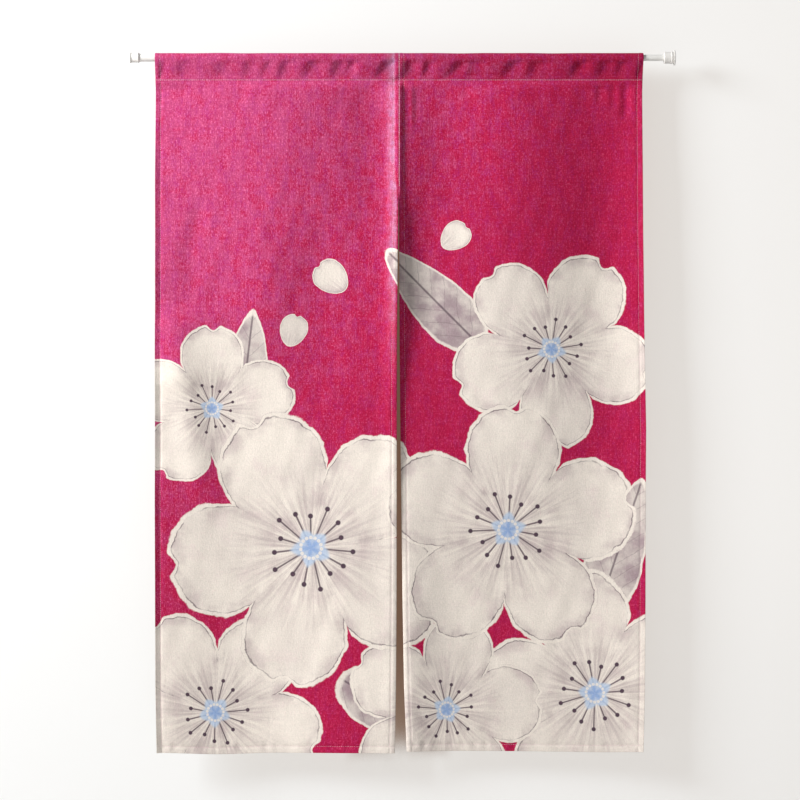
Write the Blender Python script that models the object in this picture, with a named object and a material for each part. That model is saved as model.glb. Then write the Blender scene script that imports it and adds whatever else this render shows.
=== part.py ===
"""A noren, the split curtain of a Japanese doorway, on a telescopic rod.

Two cloth panels are sewn edge to edge at the top and part below in a slit. Their tops are folded
back into a pocket, and the rod runs through it. Metres, +Z up. X runs along the rod, the curtain's
front faces -Y, and the origin is on the rod's axis, right above the seam between the panels.
"""

import math
from collections import namedtuple

import bmesh
import bpy
from mathutils import Vector

# Cloth: the thickness of one layer, how much a turned hem adds to it, and the hems' widths.
CLOTH_T = 0.0014
HEM_ADDS = 0.0008
SIDE_HEM = 0.0095
BOTTOM_HEM = 0.012
HEM_STEP = 0.002  # the width over which a hem's edge dies away
SEAM_GAP = 0.0003  # between the two panels where they are sewn together

# Drops below the rod's axis.
STITCH_DROP = 0.0377  # the line of stitches that closes the pocket
POCKET_TURN = 0.008  # the pocket's turned-in edge reaches this far below the stitches
SEAM_DROP = 0.2215  # the end of the sewn seam and the start of the slit
HEM_DROP = 1.191
FOLDS_START = 0.03  # below the pocket, the folds reach their full depth within this length

# Rod: radii, walls and lengths of the two tubes, their end cups and the rubber feet.
OUTER_R = 0.0065
OUTER_WALL = 0.001
INNER_R = 0.0052
INNER_WALL = 0.0008
FIT_GAP = 0.0003  # clear space between two pieces that fit each other
OUTER_FROM = -0.4550
OUTER_TO = 0.2440
INNER_FROM = 0.1300
INNER_TO = 0.4681
LEFT_CUP_R = 0.0078
LEFT_CUP_LONG = 0.0145
LEFT_COLLAR_R = 0.0090
RIGHT_CUP_R = 0.0108
RIGHT_CUP_LONG = 0.0167
RIGHT_COLLAR_R = 0.0100
CUP_FLOOR = 0.0030
LEFT_FOOT_R = 0.0090
RIGHT_FOOT_R = 0.0130
FOOT_T = 0.0020
EDGE_ROUND = 0.0006
ROUND_STEPS = 32

# Mesh steps of a panel, and what the meshes are finished with.
COLUMNS = 22
ROWS = 21
ARC_STEPS = 8
POCKET_STEPS = 2
MERGE_WITHIN = 0.00001
SHARP_FROM = math.radians(35)

# The panels' side edges at some drops below the rod's axis, as distances from the seam's line. Half
# of SEAM_GAP is added on each side of that line.
Outline = namedtuple("Outline", "drop left slit_left slit_right right")
OUTLINE = [
    Outline(0.000, -0.4172, 0.0, 0.0, 0.4190),
    Outline(0.060, -0.4170, 0.0, 0.0, 0.4175),
    Outline(SEAM_DROP, -0.4177, 0.0, 0.0, 0.4182),
    Outline(0.300, -0.4172, -0.0010, 0.0005, 0.4186),
    Outline(0.484, -0.4165, -0.0029, 0.0014, 0.4204),
    Outline(0.638, -0.4160, -0.0032, 0.0029, 0.4228),
    Outline(0.758, -0.4163, -0.0034, 0.0045, 0.4220),
    Outline(0.929, -0.4155, -0.0037, 0.0065, 0.4215),
    Outline(1.084, -0.4150, -0.0047, 0.0093, 0.4206),
    Outline(HEM_DROP, -0.4130, -0.0067, 0.0137, 0.4182),
]

# The hem's edge is not quite level. Its drop at some distances from the seam's line.
HemPoint = namedtuple("HemPoint", "x drop")
HEM_LINE = [
    HemPoint(-0.415, 1.1890),
    HemPoint(-0.300, 1.1932),
    HemPoint(-0.200, 1.1914),
    HemPoint(-0.010, 1.1912),
    HemPoint(0.020, 1.1888),
    HemPoint(0.340, 1.1905),
    HemPoint(0.418, 1.1885),
]

# The folds, each a soft ridge (forward) or trough (backward) that runs down the cloth. Its middle
# drifts from at_top to at_hem, its width from wide_top to wide_hem, and its depth takes the values
# of the last four columns at the drops in FOLD_DROPS.
FOLD_DROPS = (0.10, 0.36, 0.59, 1.00)
Fold = namedtuple("Fold", "at_top at_hem wide_top wide_hem top upper lower hem")
FOLDS = [
    Fold(-0.425, -0.425, 0.060, 0.055, -0.0070, 0.0030, 0.0130, 0.0110),
    Fold(-0.185, -0.260, 0.075, 0.050, 0.0070, 0.0060, -0.0030, -0.0030),
    Fold(-0.075, -0.230, 0.024, 0.075, -0.0075, -0.0060, -0.0060, -0.0040),
    Fold(0.000, -0.002, 0.021, 0.050, 0.0060, 0.0110, 0.0080, 0.0100),
    Fold(0.075, 0.100, 0.040, 0.050, -0.0030, -0.0030, -0.0030, -0.0010),
    Fold(0.200, 0.180, 0.052, 0.080, 0.0085, 0.0050, 0.0020, -0.0040),
    Fold(0.335, 0.325, 0.042, 0.060, -0.0060, -0.0100, -0.0060, -0.0010),
    Fold(0.428, 0.428, 0.035, 0.065, 0.0010, 0.0060, 0.0080, 0.0120),
]

# The colour and roughness of each kind of piece.
Finish = namedtuple("Finish", "colour roughness")
CLOTH = Finish((0.52, 0.10, 0.22, 1.0), 0.9)
PAINT = Finish((0.80, 0.79, 0.77, 1.0), 0.35)
PLASTIC = Finish((0.84, 0.83, 0.81, 1.0), 0.4)
RUBBER = Finish((0.72, 0.71, 0.69, 1.0), 0.7)


def eased(share):
    """A share from 0 to 1, kept in that range and made to start and stop gently."""
    share = min(max(share, 0.0), 1.0)
    return share * share * (3.0 - 2.0 * share)


def between(place, places, values, gently):
    """The value at a place, read from values given at rising places."""
    for low, high, start, end in zip(places, places[1:], values, values[1:]):
        if place <= high:
            share = min(max((place - low) / (high - low), 0.0), 1.0)
            return start + (end - start) * (eased(share) if gently else share)
    return values[-1]


def side_edges(side, drop):
    """The two side edges of the left or right panel at a drop, left one first."""
    drops = [row.drop for row in OUTLINE]
    names = ("left", "slit_left") if side == "left" else ("slit_right", "right")
    edges = [between(drop, drops, [getattr(row, name) for row in OUTLINE], False) for name in names]
    apart = SEAM_GAP / 2.0
    return (edges[0], edges[1] - apart) if side == "left" else (edges[0] + apart, edges[1])


def hang(x):
    """How much further than usual the cloth hangs down at a place, as a factor near 1."""
    return between(x, [row.x for row in HEM_LINE], [row.drop for row in HEM_LINE], True) / HEM_DROP


def fold_depth(x, drop):
    """How far forward the cloth stands at a place, from all the folds together."""
    share = (drop - STITCH_DROP) / (HEM_DROP - STITCH_DROP)
    depth = 0.0
    for fold in FOLDS:
        middle = fold.at_top + (fold.at_hem - fold.at_top) * eased(share)
        wide = fold.wide_top + (fold.wide_hem - fold.wide_top) * eased(share)
        swell = between(drop, FOLD_DROPS, (fold.top, fold.upper, fold.lower, fold.hem), True)
        depth += swell * math.exp(-0.5 * ((x - middle) / wide) ** 2)
    return depth * eased((drop - STITCH_DROP) / FOLDS_START)


def row_drops():
    """The drops of a panel's rows, from the hem's edge up to the pocket's stitches."""
    hem_top = HEM_DROP - BOTTOM_HEM
    first = STITCH_DROP + POCKET_TURN
    step = (hem_top - HEM_STEP - first) / ROWS
    plain = [hem_top - HEM_STEP - step * i for i in range(ROWS + 1)]
    return [HEM_DROP, hem_top] + plain + [STITCH_DROP]


def column_shares(width):
    """Where a panel's columns stand across it, from 0 to 1, with both side hems."""
    hem, step = SIDE_HEM / width, HEM_STEP / width
    inner = 1.0 - 2.0 * (hem + step)
    plain = [hem + step + inner * i / COLUMNS for i in range(COLUMNS + 1)]
    return [0.0, hem] + plain + [1.0 - hem, 1.0]


def thickness(share, width, drop):
    """The cloth's thickness at a place: more in the side hems and the bottom hem."""
    from_side = min(share, 1.0 - share) * width
    in_side = 1.0 - (from_side - SIDE_HEM) / HEM_STEP
    in_bottom = 1.0 - (HEM_DROP - BOTTOM_HEM - drop) / HEM_STEP
    return CLOTH_T + HEM_ADDS * min(max(in_side, in_bottom, 0.0), 1.0)


def pocket_path(half):
    """The middle line of the cloth round the rod in the Y-Z plane, from the front to the back stitches."""
    radius = OUTER_R + FIT_GAP + half
    foot = half + FIT_GAP
    front = []
    for i in range(POCKET_STEPS):
        share = i / POCKET_STEPS
        front.append(Vector((-foot - (radius - foot) * share, -STITCH_DROP * (1.0 - share))))
    turns = [math.pi * (1.0 - i / ARC_STEPS) for i in range(ARC_STEPS + 1)]
    arc = [Vector((radius * math.cos(turn), radius * math.sin(turn))) for turn in turns]
    back = [Vector((-point.x, point.y)) for point in reversed(front)]
    return front + arc + back


def pocket_sides(half):
    """The outer and the inner points of the cloth round the rod."""
    path = pocket_path(half)
    outer, inner = [], []
    for i, point in enumerate(path):
        along = path[min(i + 1, len(path) - 1)] - path[max(i - 1, 0)]
        out = Vector((-along.y, along.x)).normalized()
        if i in (0, len(path) - 1):
            out = Vector((-1.0 if i == 0 else 1.0, 0.0))
        outer.append(point + out * half)
        inner.append(point - out * half)
    return outer, inner


def section_points(side, share, width):
    """One upright section: the sheet's front and back points, then the pocket's outer and inner ones."""
    points = []
    for drop in row_drops()[:-1]:
        left, right = side_edges(side, drop)
        x = left + (right - left) * share
        half = thickness(share, width, drop) / 2.0
        middle = -fold_depth(x, drop)
        height = -drop * hang(x)
        points += [Vector((x, middle - half, height)), Vector((x, middle + half, height))]
    half = thickness(share, width, 0.0) / 2.0
    for out, into in zip(*pocket_sides(half)):
        for place in (out, into):
            left, right = side_edges(side, max(-place.y, 0.0))
            points.append(Vector((left + (right - left) * share, place.x, place.y)))
    return points


def section_faces():
    """The quads of a section, as indices into its points."""
    rows = len(row_drops()) - 1
    last = 2 * rows + 2 * (len(pocket_path(CLOTH_T)) - 1)
    first = 2 * rows
    faces = [(2 * i, 2 * i + 1, 2 * i + 3, 2 * i + 2) for i in range(rows - 1)]
    faces.append((first - 2, first - 1, last, first))
    faces += [(i, i + 1, i + 3, i + 2) for i in range(first, last, 2)]
    faces.append((first, last, last + 1, first + 1))
    return faces


def cloth_panel(side):
    """A panel's mesh: its section, drawn sideways through all the columns."""
    left, right = side_edges(side, HEM_DROP / 2.0)
    width = right - left
    sections = [section_points(side, share, width) for share in column_shares(width)]
    bm = bmesh.new()
    place = bm.verts.layers.int.new("place")
    verts = [bm.verts.new(point) for point in sections[0]]
    for index, vert in enumerate(verts):
        vert[place] = index
    end = [bm.faces.new([verts[i] for i in face]) for face in section_faces()]
    faces = end
    for section in sections[1:]:
        drawn = bmesh.ops.extrude_face_region(bm, geom=faces)["geom"]
        if faces is not end:
            bmesh.ops.delete(bm, geom=faces, context="FACES_ONLY")
        faces = [item for item in drawn if isinstance(item, bmesh.types.BMFace)]
        for vert in (item for item in drawn if isinstance(item, bmesh.types.BMVert)):
            vert.co = section[vert[place]]
    bmesh.ops.recalc_face_normals(bm, faces=bm.faces)
    return to_mesh(bm, side + "_panel")


def turned(name, profile):
    """A mesh turned round the X axis from (x, radius) points; ends with radius 0 close it."""
    bm = bmesh.new()
    verts = [bm.verts.new((x, 0.0, radius)) for x, radius in profile]
    pairs = list(zip(verts, verts[1:]))
    if profile[0][1] > 0.0:
        pairs.append((verts[-1], verts[0]))
    edges = [bm.edges.new(pair) for pair in pairs]
    bmesh.ops.spin(
        bm, geom=verts + edges, cent=(0, 0, 0), axis=(1, 0, 0), angle=math.tau,
        steps=ROUND_STEPS, use_merge=True,
    )
    bmesh.ops.remove_doubles(bm, verts=bm.verts, dist=MERGE_WITHIN)
    bmesh.ops.recalc_face_normals(bm, faces=bm.faces)
    return to_mesh(bm, name)


def to_mesh(bm, name):
    """A finished mesh, smooth but for its sharp edges."""
    mesh = bpy.data.meshes.new(name)
    bm.to_mesh(mesh)
    bm.free()
    mesh.shade_smooth()
    mesh.set_sharp_from_angle(angle=SHARP_FROM)
    return mesh


def tube(name, radius, wall, length):
    """A round tube, open at both ends."""
    bore = radius - wall
    return turned(name, [(0.0, radius), (length, radius), (length, bore), (0.0, bore)])


def cup(name, radius, bore, length, collar):
    """An end cup with its floor at x = 0 and its mouth, with a collar, at x = length."""
    rim = length - 2.0 * EDGE_ROUND
    profile = [
        (0.0, 0.0),
        (0.0, radius - EDGE_ROUND),
        (EDGE_ROUND, radius),
        (rim, radius),
        (rim, collar),
        (length, collar),
        (length, bore),
        (CUP_FLOOR, bore),
        (CUP_FLOOR, 0.0),
    ]
    return turned(name, profile)


def foot(name, radius):
    """A rubber disc whose flat outer face is at x = 0."""
    profile = [
        (0.0, 0.0),
        (0.0, radius - EDGE_ROUND),
        (EDGE_ROUND, radius),
        (FOOT_T, radius),
        (FOOT_T, 0.0),
    ]
    return turned(name, profile)


def material(name, finish):
    """A Principled material for one piece."""
    made = bpy.data.materials.new(name + "_finish")
    made.use_nodes = True
    shader = made.node_tree.nodes["Principled BSDF"]
    shader.inputs["Base Color"].default_value = finish.colour
    shader.inputs["Roughness"].default_value = finish.roughness
    shader.inputs["Metallic"].default_value = 0.0
    return made


def add(mesh, finish, parent, x=0.0, facing_right=False):
    """A piece with its own material at a place on the rod's axis, turned half round to face right."""
    made = bpy.data.objects.new(mesh.name, mesh)
    made.data.materials.append(material(mesh.name, finish))
    made.parent = parent
    made.location = (x, 0.0, 0.0)
    if facing_right:
        made.rotation_euler = (0.0, 0.0, math.pi)
    bpy.context.scene.collection.objects.link(made)


def build():
    """The whole curtain: its two panels, and the rod with its cups and feet."""
    for item in list(bpy.data.objects):
        bpy.data.objects.remove(item, do_unlink=True)
    noren = bpy.data.objects.new("noren", None)
    bpy.context.scene.collection.objects.link(noren)

    for side in ("left", "right"):
        add(cloth_panel(side), CLOTH, noren)

    add(tube("outer_tube", OUTER_R, OUTER_WALL, OUTER_TO - OUTER_FROM), PAINT, noren, OUTER_FROM)
    add(tube("inner_tube", INNER_R, INNER_WALL, INNER_TO - INNER_FROM), PAINT, noren, INNER_FROM)

    left_end = OUTER_FROM - FIT_GAP - CUP_FLOOR
    left_cup = cup("left_cap", LEFT_CUP_R, OUTER_R + FIT_GAP, LEFT_CUP_LONG, LEFT_COLLAR_R)
    add(left_cup, PLASTIC, noren, left_end)
    add(foot("left_foot", LEFT_FOOT_R), RUBBER, noren, left_end - FIT_GAP - FOOT_T)

    right_end = INNER_TO + FIT_GAP + CUP_FLOOR
    right_cup = cup("right_cap", RIGHT_CUP_R, INNER_R + FIT_GAP, RIGHT_CUP_LONG, RIGHT_COLLAR_R)
    add(right_cup, PLASTIC, noren, right_end, True)
    add(foot("right_foot", RIGHT_FOOT_R), RUBBER, noren, right_end + FIT_GAP + FOOT_T, True)


build()
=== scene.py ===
"""A noren, the split curtain of a Japanese doorway, hung on a white telescopic rod.

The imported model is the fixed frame. Every class below builds one sub-assembly of the curtain from
its own sizes, and every finish is a frozen dataclass. Metres, +Z up, the curtain's front faces -Y.
"""

import logging
import math
from dataclasses import dataclass, field
from enum import Enum
from functools import reduce
from typing import Callable, Sequence

import bmesh
import bpy
import numpy as np
from mathutils import Euler, Matrix, Vector


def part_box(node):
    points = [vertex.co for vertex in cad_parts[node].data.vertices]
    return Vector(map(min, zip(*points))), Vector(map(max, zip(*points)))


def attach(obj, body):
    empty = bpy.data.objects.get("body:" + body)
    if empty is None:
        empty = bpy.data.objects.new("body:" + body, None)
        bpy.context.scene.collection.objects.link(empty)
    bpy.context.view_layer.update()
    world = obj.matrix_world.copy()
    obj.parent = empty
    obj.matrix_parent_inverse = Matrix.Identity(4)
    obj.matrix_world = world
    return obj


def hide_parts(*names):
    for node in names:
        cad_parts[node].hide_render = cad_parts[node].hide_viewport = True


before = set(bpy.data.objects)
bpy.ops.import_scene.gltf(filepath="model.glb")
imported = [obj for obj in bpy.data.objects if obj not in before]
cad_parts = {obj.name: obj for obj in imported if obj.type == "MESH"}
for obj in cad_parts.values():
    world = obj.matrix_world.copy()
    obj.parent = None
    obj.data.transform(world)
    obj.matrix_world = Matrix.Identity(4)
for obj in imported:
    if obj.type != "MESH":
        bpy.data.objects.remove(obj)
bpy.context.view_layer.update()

LOG = logging.getLogger("noren")
MM = 0.001
PHOTO_PX = 800
CLOTH_HEIGHT = 1.2
CLOTH_PX = 700.0
METRES_PER_PX = CLOTH_HEIGHT / CLOTH_PX
SEAM_PX = 398.7
ROD_PX = 57.8
Colour = tuple[float, float, float]


class Side(Enum):
    """The two cloth panels, each with the name of its solid."""

    LEFT = "left_panel"
    RIGHT = "right_panel"


class Kind(Enum):
    """What a motif of the print is, with the number that its shader reads."""

    LEAF = -1.0
    PETAL = 0.0
    BLOSSOM = 1.0


class Mixed(Enum):
    """What a Mix node mixes, with the number of its output."""

    FLOAT = 0
    VECTOR = 1
    RGBA = 2


def eased(share: np.ndarray) -> np.ndarray:
    """A share from 0 to 1, kept in that range and made to start and stop gently."""
    share = np.clip(share, 0.0, 1.0)
    return share * share * (3.0 - 2.0 * share)


def bell(away: np.ndarray, wide: float | np.ndarray) -> np.ndarray:
    """A smooth bump of height 1 where away is 0, which fades over a few times wide."""
    return np.exp(-0.5 * (away / wide) ** 2)


def between(place: np.ndarray, places: Sequence[float], values: Sequence[float]) -> np.ndarray:
    """Values at some places, gently joined through values given at rising places.

    Args:
        place: Where the values are wanted.
        places: The rising places that values are given for.
        values: One value for each of them.

    Returns:
        An array of the shape of place.
    """
    place = np.clip(place, places[0], places[-1])
    index = np.clip(np.searchsorted(places, place, side="right") - 1, 0, len(places) - 2)
    low, high = np.take(places, index), np.take(places, index + 1)
    start, end = np.take(values, index), np.take(values, index + 1)
    return start + (end - start) * eased((place - low) / (high - low))


def lumps(x: np.ndarray, z: np.ndarray, seed: int, across: float, along: float) -> np.ndarray:
    """Smooth seeded unevenness between about -1 and 1, from a few crossing waves.

    Args:
        x: Places across the cloth.
        z: Places along the cloth.
        seed: Picks the waves.
        across: The usual wave length across.
        along: The usual wave length along.

    Returns:
        An array of the shape of x and z together.
    """
    draw = np.random.default_rng(seed)
    waves = 9
    total = 0.0
    for _ in range(waves):
        turn_x, turn_z = draw.uniform(0.5, 1.6, 2) * draw.choice([-1.0, 1.0], 2)
        start = draw.uniform(0.0, math.tau)
        total = total + np.sin(math.tau * (turn_x * x / across + turn_z * z / along) + start)
    return total / math.sqrt(waves * 2.0)


@dataclass(frozen=True)
class Fold:
    """A soft ridge or trough down the cloth: where it runs, its width and its swell by height."""

    at_top: float
    at_hem: float
    wide_top: float
    wide_hem: float
    swell: tuple[float, float, float, float, float]
    lee: float = 1.0
    only: Side | None = None


@dataclass(frozen=True)
class Crease:
    """A short soft line in the cloth, forward if its depth is above 0."""

    x: float
    drop: float
    to_x: float
    to_drop: float
    wide: float
    depth: float


@dataclass(frozen=True)
class Pucker:
    """A dent that the pocket's stitches pull into the cloth over the rod."""

    x: float
    wide_mm: float
    lean: float
    depth_mm: float


@dataclass
class ClothShape:
    """The form that both panels hang in: their edges, folds, creases and puckers."""

    stitch_drop: float = 0.0377
    hem_drop: float = 1.191
    seam_gap: float = 0.3 * MM
    folds_start: float = 0.018
    parting: float = 0.060
    fold_drops: tuple = (0.07, 0.22, 0.40, 0.62, 1.00)
    edge_drops: tuple = (0.0, 0.06, 0.2215, 0.30, 0.484, 0.638, 0.758, 0.929, 1.084, 1.191)
    edges: dict = field(default_factory=lambda: {
        "left": (-417.2, -417.0, -417.7, -417.2, -416.5, -416.0, -416.3, -415.5, -415.0, -413.0),
        "slit_left": (0.0, 0.0, 0.0, -1.0, -2.9, -3.2, -3.4, -3.7, -4.7, -6.7),
        "slit_right": (0.0, 0.0, 0.0, 0.5, 1.4, 2.9, 4.5, 6.5, 9.3, 13.7),
        "right": (419.0, 417.5, 418.2, 418.6, 420.4, 422.8, 422.0, 421.5, 420.6, 418.2),
    })
    hem_places: tuple = (-0.415, -0.300, -0.200, -0.010, 0.020, 0.340, 0.418)
    hem_drops: tuple = (1.1890, 1.1932, 1.1914, 1.1912, 1.1888, 1.1905, 1.1885)
    folds: tuple = (
        Fold(-0.425, -0.425, 0.060, 0.070, (-0.0070, -0.0020, 0.0040, 0.0130, 0.0160)),
        Fold(-0.185, -0.215, 0.075, 0.060, (0.0080, 0.0080, 0.0030, 0.0000, -0.0050)),
        Fold(-0.235, -0.235, 0.035, 0.035, (0.0000, 0.0000, 0.0045, 0.0000, 0.0000)),
        Fold(-0.130, -0.130, 0.040, 0.040, (0.0000, -0.0020, -0.0060, -0.0020, 0.0000)),
        Fold(-0.048, -0.080, 0.022, 0.040, (-0.0030, -0.0030, -0.0020, 0.0000, 0.0000)),
        Fold(0.000, 0.000, 0.100, 0.140, (0.0000, 0.0010, 0.0040, 0.0060, 0.0060), 1.0, Side.LEFT),
        Fold(0.0012, -0.002, 0.013, 0.018, (0.0052, 0.0070, 0.0066, 0.0012, 0.0008), 0.35),
        Fold(-0.002, -0.004, 0.013, 0.018, (0.0000, 0.0000, 0.0018, 0.0040, 0.0022), 1.0, Side.LEFT),
        Fold(0.000, 0.000, 0.009, 0.012, (0.0050, 0.0064, 0.0046, 0.0000, 0.0000), 3.6),
        Fold(0.028, 0.008, 0.038, 0.034, (0.0000, -0.0072, -0.0076, 0.0010, 0.0072), 1.0, Side.RIGHT),
        Fold(0.075, 0.100, 0.040, 0.060, (-0.0030, -0.0030, -0.0030, -0.0010, -0.0030)),
        Fold(0.200, 0.200, 0.050, 0.090, (0.0055, 0.0060, 0.0040, 0.0030, -0.0080)),
        Fold(0.360, 0.352, 0.045, 0.060, (-0.0066, -0.0088, -0.0106, -0.0066, -0.0050)),
        Fold(0.428, 0.428, 0.035, 0.070, (0.0000, 0.0040, 0.0066, 0.0086, 0.0120)),
        Fold(0.431, 0.431, 0.020, 0.022, (0.0010, 0.0030, 0.0044, 0.0058, 0.0040)),
    )
    creases: tuple = (
        Crease(0.390, 0.040, 0.389, 0.105, 0.0055, -0.0036),
        Crease(0.347, 0.040, 0.344, 0.078, 0.0045, -0.0014),
        Crease(0.369, 0.040, 0.371, 0.088, 0.0045, -0.0018),
        Crease(0.118, 0.040, 0.115, 0.070, 0.0060, -0.0010),
        Crease(-0.262, 0.040, -0.266, 0.072, 0.0070, -0.0010),
        Crease(0.0215, 0.045, 0.0225, 0.130, 0.0030, 0.0009),
        Crease(0.0300, 0.045, 0.0320, 0.120, 0.0035, -0.0005),
        Crease(-0.340, 0.240, -0.365, 0.420, 0.0120, -0.0020),
        Crease(-0.388, 0.440, -0.330, 0.780, 0.0200, 0.0050),
        Crease(-0.372, 0.430, -0.350, 0.570, 0.0520, 0.0060),
        Crease(-0.060, 1.090, -0.010, 1.150, 0.0060, 0.0012),
        Crease(0.030, 1.120, 0.075, 1.175, 0.0060, -0.0012),
        Crease(-0.220, 1.140, -0.150, 1.175, 0.0070, 0.0009),
        Crease(0.240, 1.145, 0.330, 1.172, 0.0070, 0.0009),
        Crease(0.370, 1.060, 0.410, 1.150, 0.0080, 0.0014),
    )
    puckers: tuple = (
        Pucker(-0.407, 4.0, 0.1, 0.8), Pucker(-0.374, 10.0, 0.1, 1.0), Pucker(-0.308, 12.0, 0.3, 1.0),
        Pucker(-0.262, 8.0, 0.2, 1.2), Pucker(-0.231, 6.0, 0.5, 1.0), Pucker(-0.200, 8.0, 0.2, 1.6),
        Pucker(-0.156, 10.0, 0.4, 1.8), Pucker(-0.109, 8.0, 0.2, 2.6), Pucker(-0.088, 6.0, 0.5, 2.0),
        Pucker(-0.029, 8.0, 0.5, 3.2), Pucker(-0.010, 6.0, 0.0, -1.0), Pucker(0.014, 7.0, 0.0, 3.2),
        Pucker(0.045, 6.0, 0.2, 2.0), Pucker(0.093, 8.0, 0.8, 2.4), Pucker(0.122, 9.0, 0.1, 1.8),
        Pucker(0.186, 9.0, 0.5, 2.4), Pucker(0.227, 11.0, 0.2, 2.4), Pucker(0.302, 8.0, 0.4, 2.4),
        Pucker(0.346, 10.0, 0.1, 2.2), Pucker(0.376, 7.0, 0.3, 1.8), Pucker(0.412, 4.0, 0.2, 1.0),
    )
    curl_wide: float = 0.0095
    curls: dict = field(default_factory=lambda: {
        (Side.LEFT, "left"): (0.0008, 0.0022, 0.0026, 0.0030, 0.0034),
        (Side.LEFT, "right"): (-0.0004, -0.0010, -0.0010, -0.0008, -0.0012),
        (Side.RIGHT, "left"): (0.0000, -0.0003, -0.0004, -0.0010, -0.0024),
        (Side.RIGHT, "right"): (0.0008, 0.0016, 0.0016, 0.0014, 0.0010),
    })
    grain_depth: float = 0.35 * MM

    def edge(self, name: str, drop: np.ndarray) -> np.ndarray:
        """Where an edge runs at some drops."""
        return np.interp(drop, self.edge_drops, np.array(self.edges[name]) * MM)

    def sides(self, side: Side, drop: np.ndarray) -> tuple[np.ndarray, np.ndarray]:
        """Where the edges of a panel run.

        Args:
            side: The panel.
            drop: Drops below the rod's axis.

        Returns:
            The x of its left and of its right edge.
        """
        apart = self.seam_gap / 2.0
        if side is Side.LEFT:
            return self.edge("left", drop), self.edge("slit_left", drop) - apart
        return self.edge("slit_right", drop) + apart, self.edge("right", drop)

    def hang(self, x: np.ndarray) -> np.ndarray:
        """How much further than usual the cloth hangs down, as a factor near 1."""
        return between(x, self.hem_places, self.hem_drops) / self.hem_drop

    def depth(self, side: Side, x: np.ndarray, drop: np.ndarray) -> np.ndarray:
        """How far forward the hanging cloth stands.

        Args:
            side: The panel that is asked for, because the two part below the seam.
            x: Distances from the seam's line.
            drop: Drops below the rod's axis.

        Returns:
            Metres towards the front, above 0 on a ridge.
        """
        share = eased((drop - self.stitch_drop) / (self.hem_drop - self.stitch_drop))
        total = np.zeros(np.broadcast(x, drop).shape)
        parted = eased((drop - self.edge_drops[2]) / self.parting)
        for fold in self.folds:
            if fold.only not in (None, side):
                continue
            middle = fold.at_top + (fold.at_hem - fold.at_top) * share
            wide = fold.wide_top + (fold.wide_hem - fold.wide_top) * share
            swell = between(drop, self.fold_drops, fold.swell)
            swell = swell if fold.only is None else swell * parted
            wide = np.where(x > middle, wide * fold.lee, wide)
            total = total + swell * bell(x - middle, wide)
        for crease in self.creases:
            total = total + self.crease_depth(crease, x, drop)
        left, right = self.sides(side, drop)
        for name, inward in (("left", x - left), ("right", right - x)):
            near = np.clip(1.0 - inward / self.curl_wide, 0.0, 1.0)
            total = total + between(drop, self.fold_drops, self.curls[(side, name)]) * near ** 2
        total = total + self.grain_depth * lumps(x, drop, 7, 0.055, 0.140)
        return total * eased((drop - self.stitch_drop) / self.folds_start)

    def crease_depth(self, crease: Crease, x: np.ndarray, drop: np.ndarray) -> np.ndarray:
        """The part of the depth that one crease adds.

        Args:
            crease: The crease.
            x: Distances from the seam's line.
            drop: Drops below the rod's axis.

        Returns:
            Metres towards the front.
        """
        run = np.array([crease.to_x - crease.x, crease.to_drop - crease.drop])
        long = float(np.hypot(*run))
        across = ((x - crease.x) * run[1] - (drop - crease.drop) * run[0]) / long
        along = ((x - crease.x) * run[0] + (drop - crease.drop) * run[1]) / long
        fade, early = 0.35 * long, 0.3
        ends = eased(along / fade + early) * eased((long - along) / fade + early)
        return crease.depth * ends * bell(across, crease.wide)


@dataclass
class Weave:
    """Steps of a panel's grid, and how its hems and pocket are turned."""

    thick: float = 0.5 * MM
    layer: float = 0.75 * MM
    side_hem: float = 9.5 * MM
    bottom_hem: float = 12.0 * MM
    groove: float = 0.70 * MM
    groove_wide: float = 1.3 * MM
    pinch: float = 1.3 * MM
    pinch_wide: float = 6.0 * MM
    tug: float = 0.45 * MM
    columns: int = 108
    crowd: float = 2.0
    crowd_wide: float = 0.030
    rows: int = 262
    hem_steps: int = 9
    back_steps: int = 3
    turn_steps: int = 3
    front_steps: int = 20
    arc_steps: int = 12
    pocket_turn: float = 8.0 * MM
    slack: float = 0.3 * MM
    hug_low: float = 0.14
    hug_high: float = 0.93
    pull: float = 2.6
    straight: float = 0.06
    beside_hem: float = 2.5 * MM
    above_hem: float = 2.0 * MM
    above_stitches: float = 1.5 * MM
    hem_blend: float = 2.0 * MM
    inset: float = 0.8 * MM
    even_steps: int = 400
    flap_steps: int = 3
    rod_gap: float = 0.3 * MM
    foot_gap: float = 0.1 * MM
    tug_at: float = 0.9
    tug_wide: float = 0.55
    out_of_reach: float = 9.0


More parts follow.
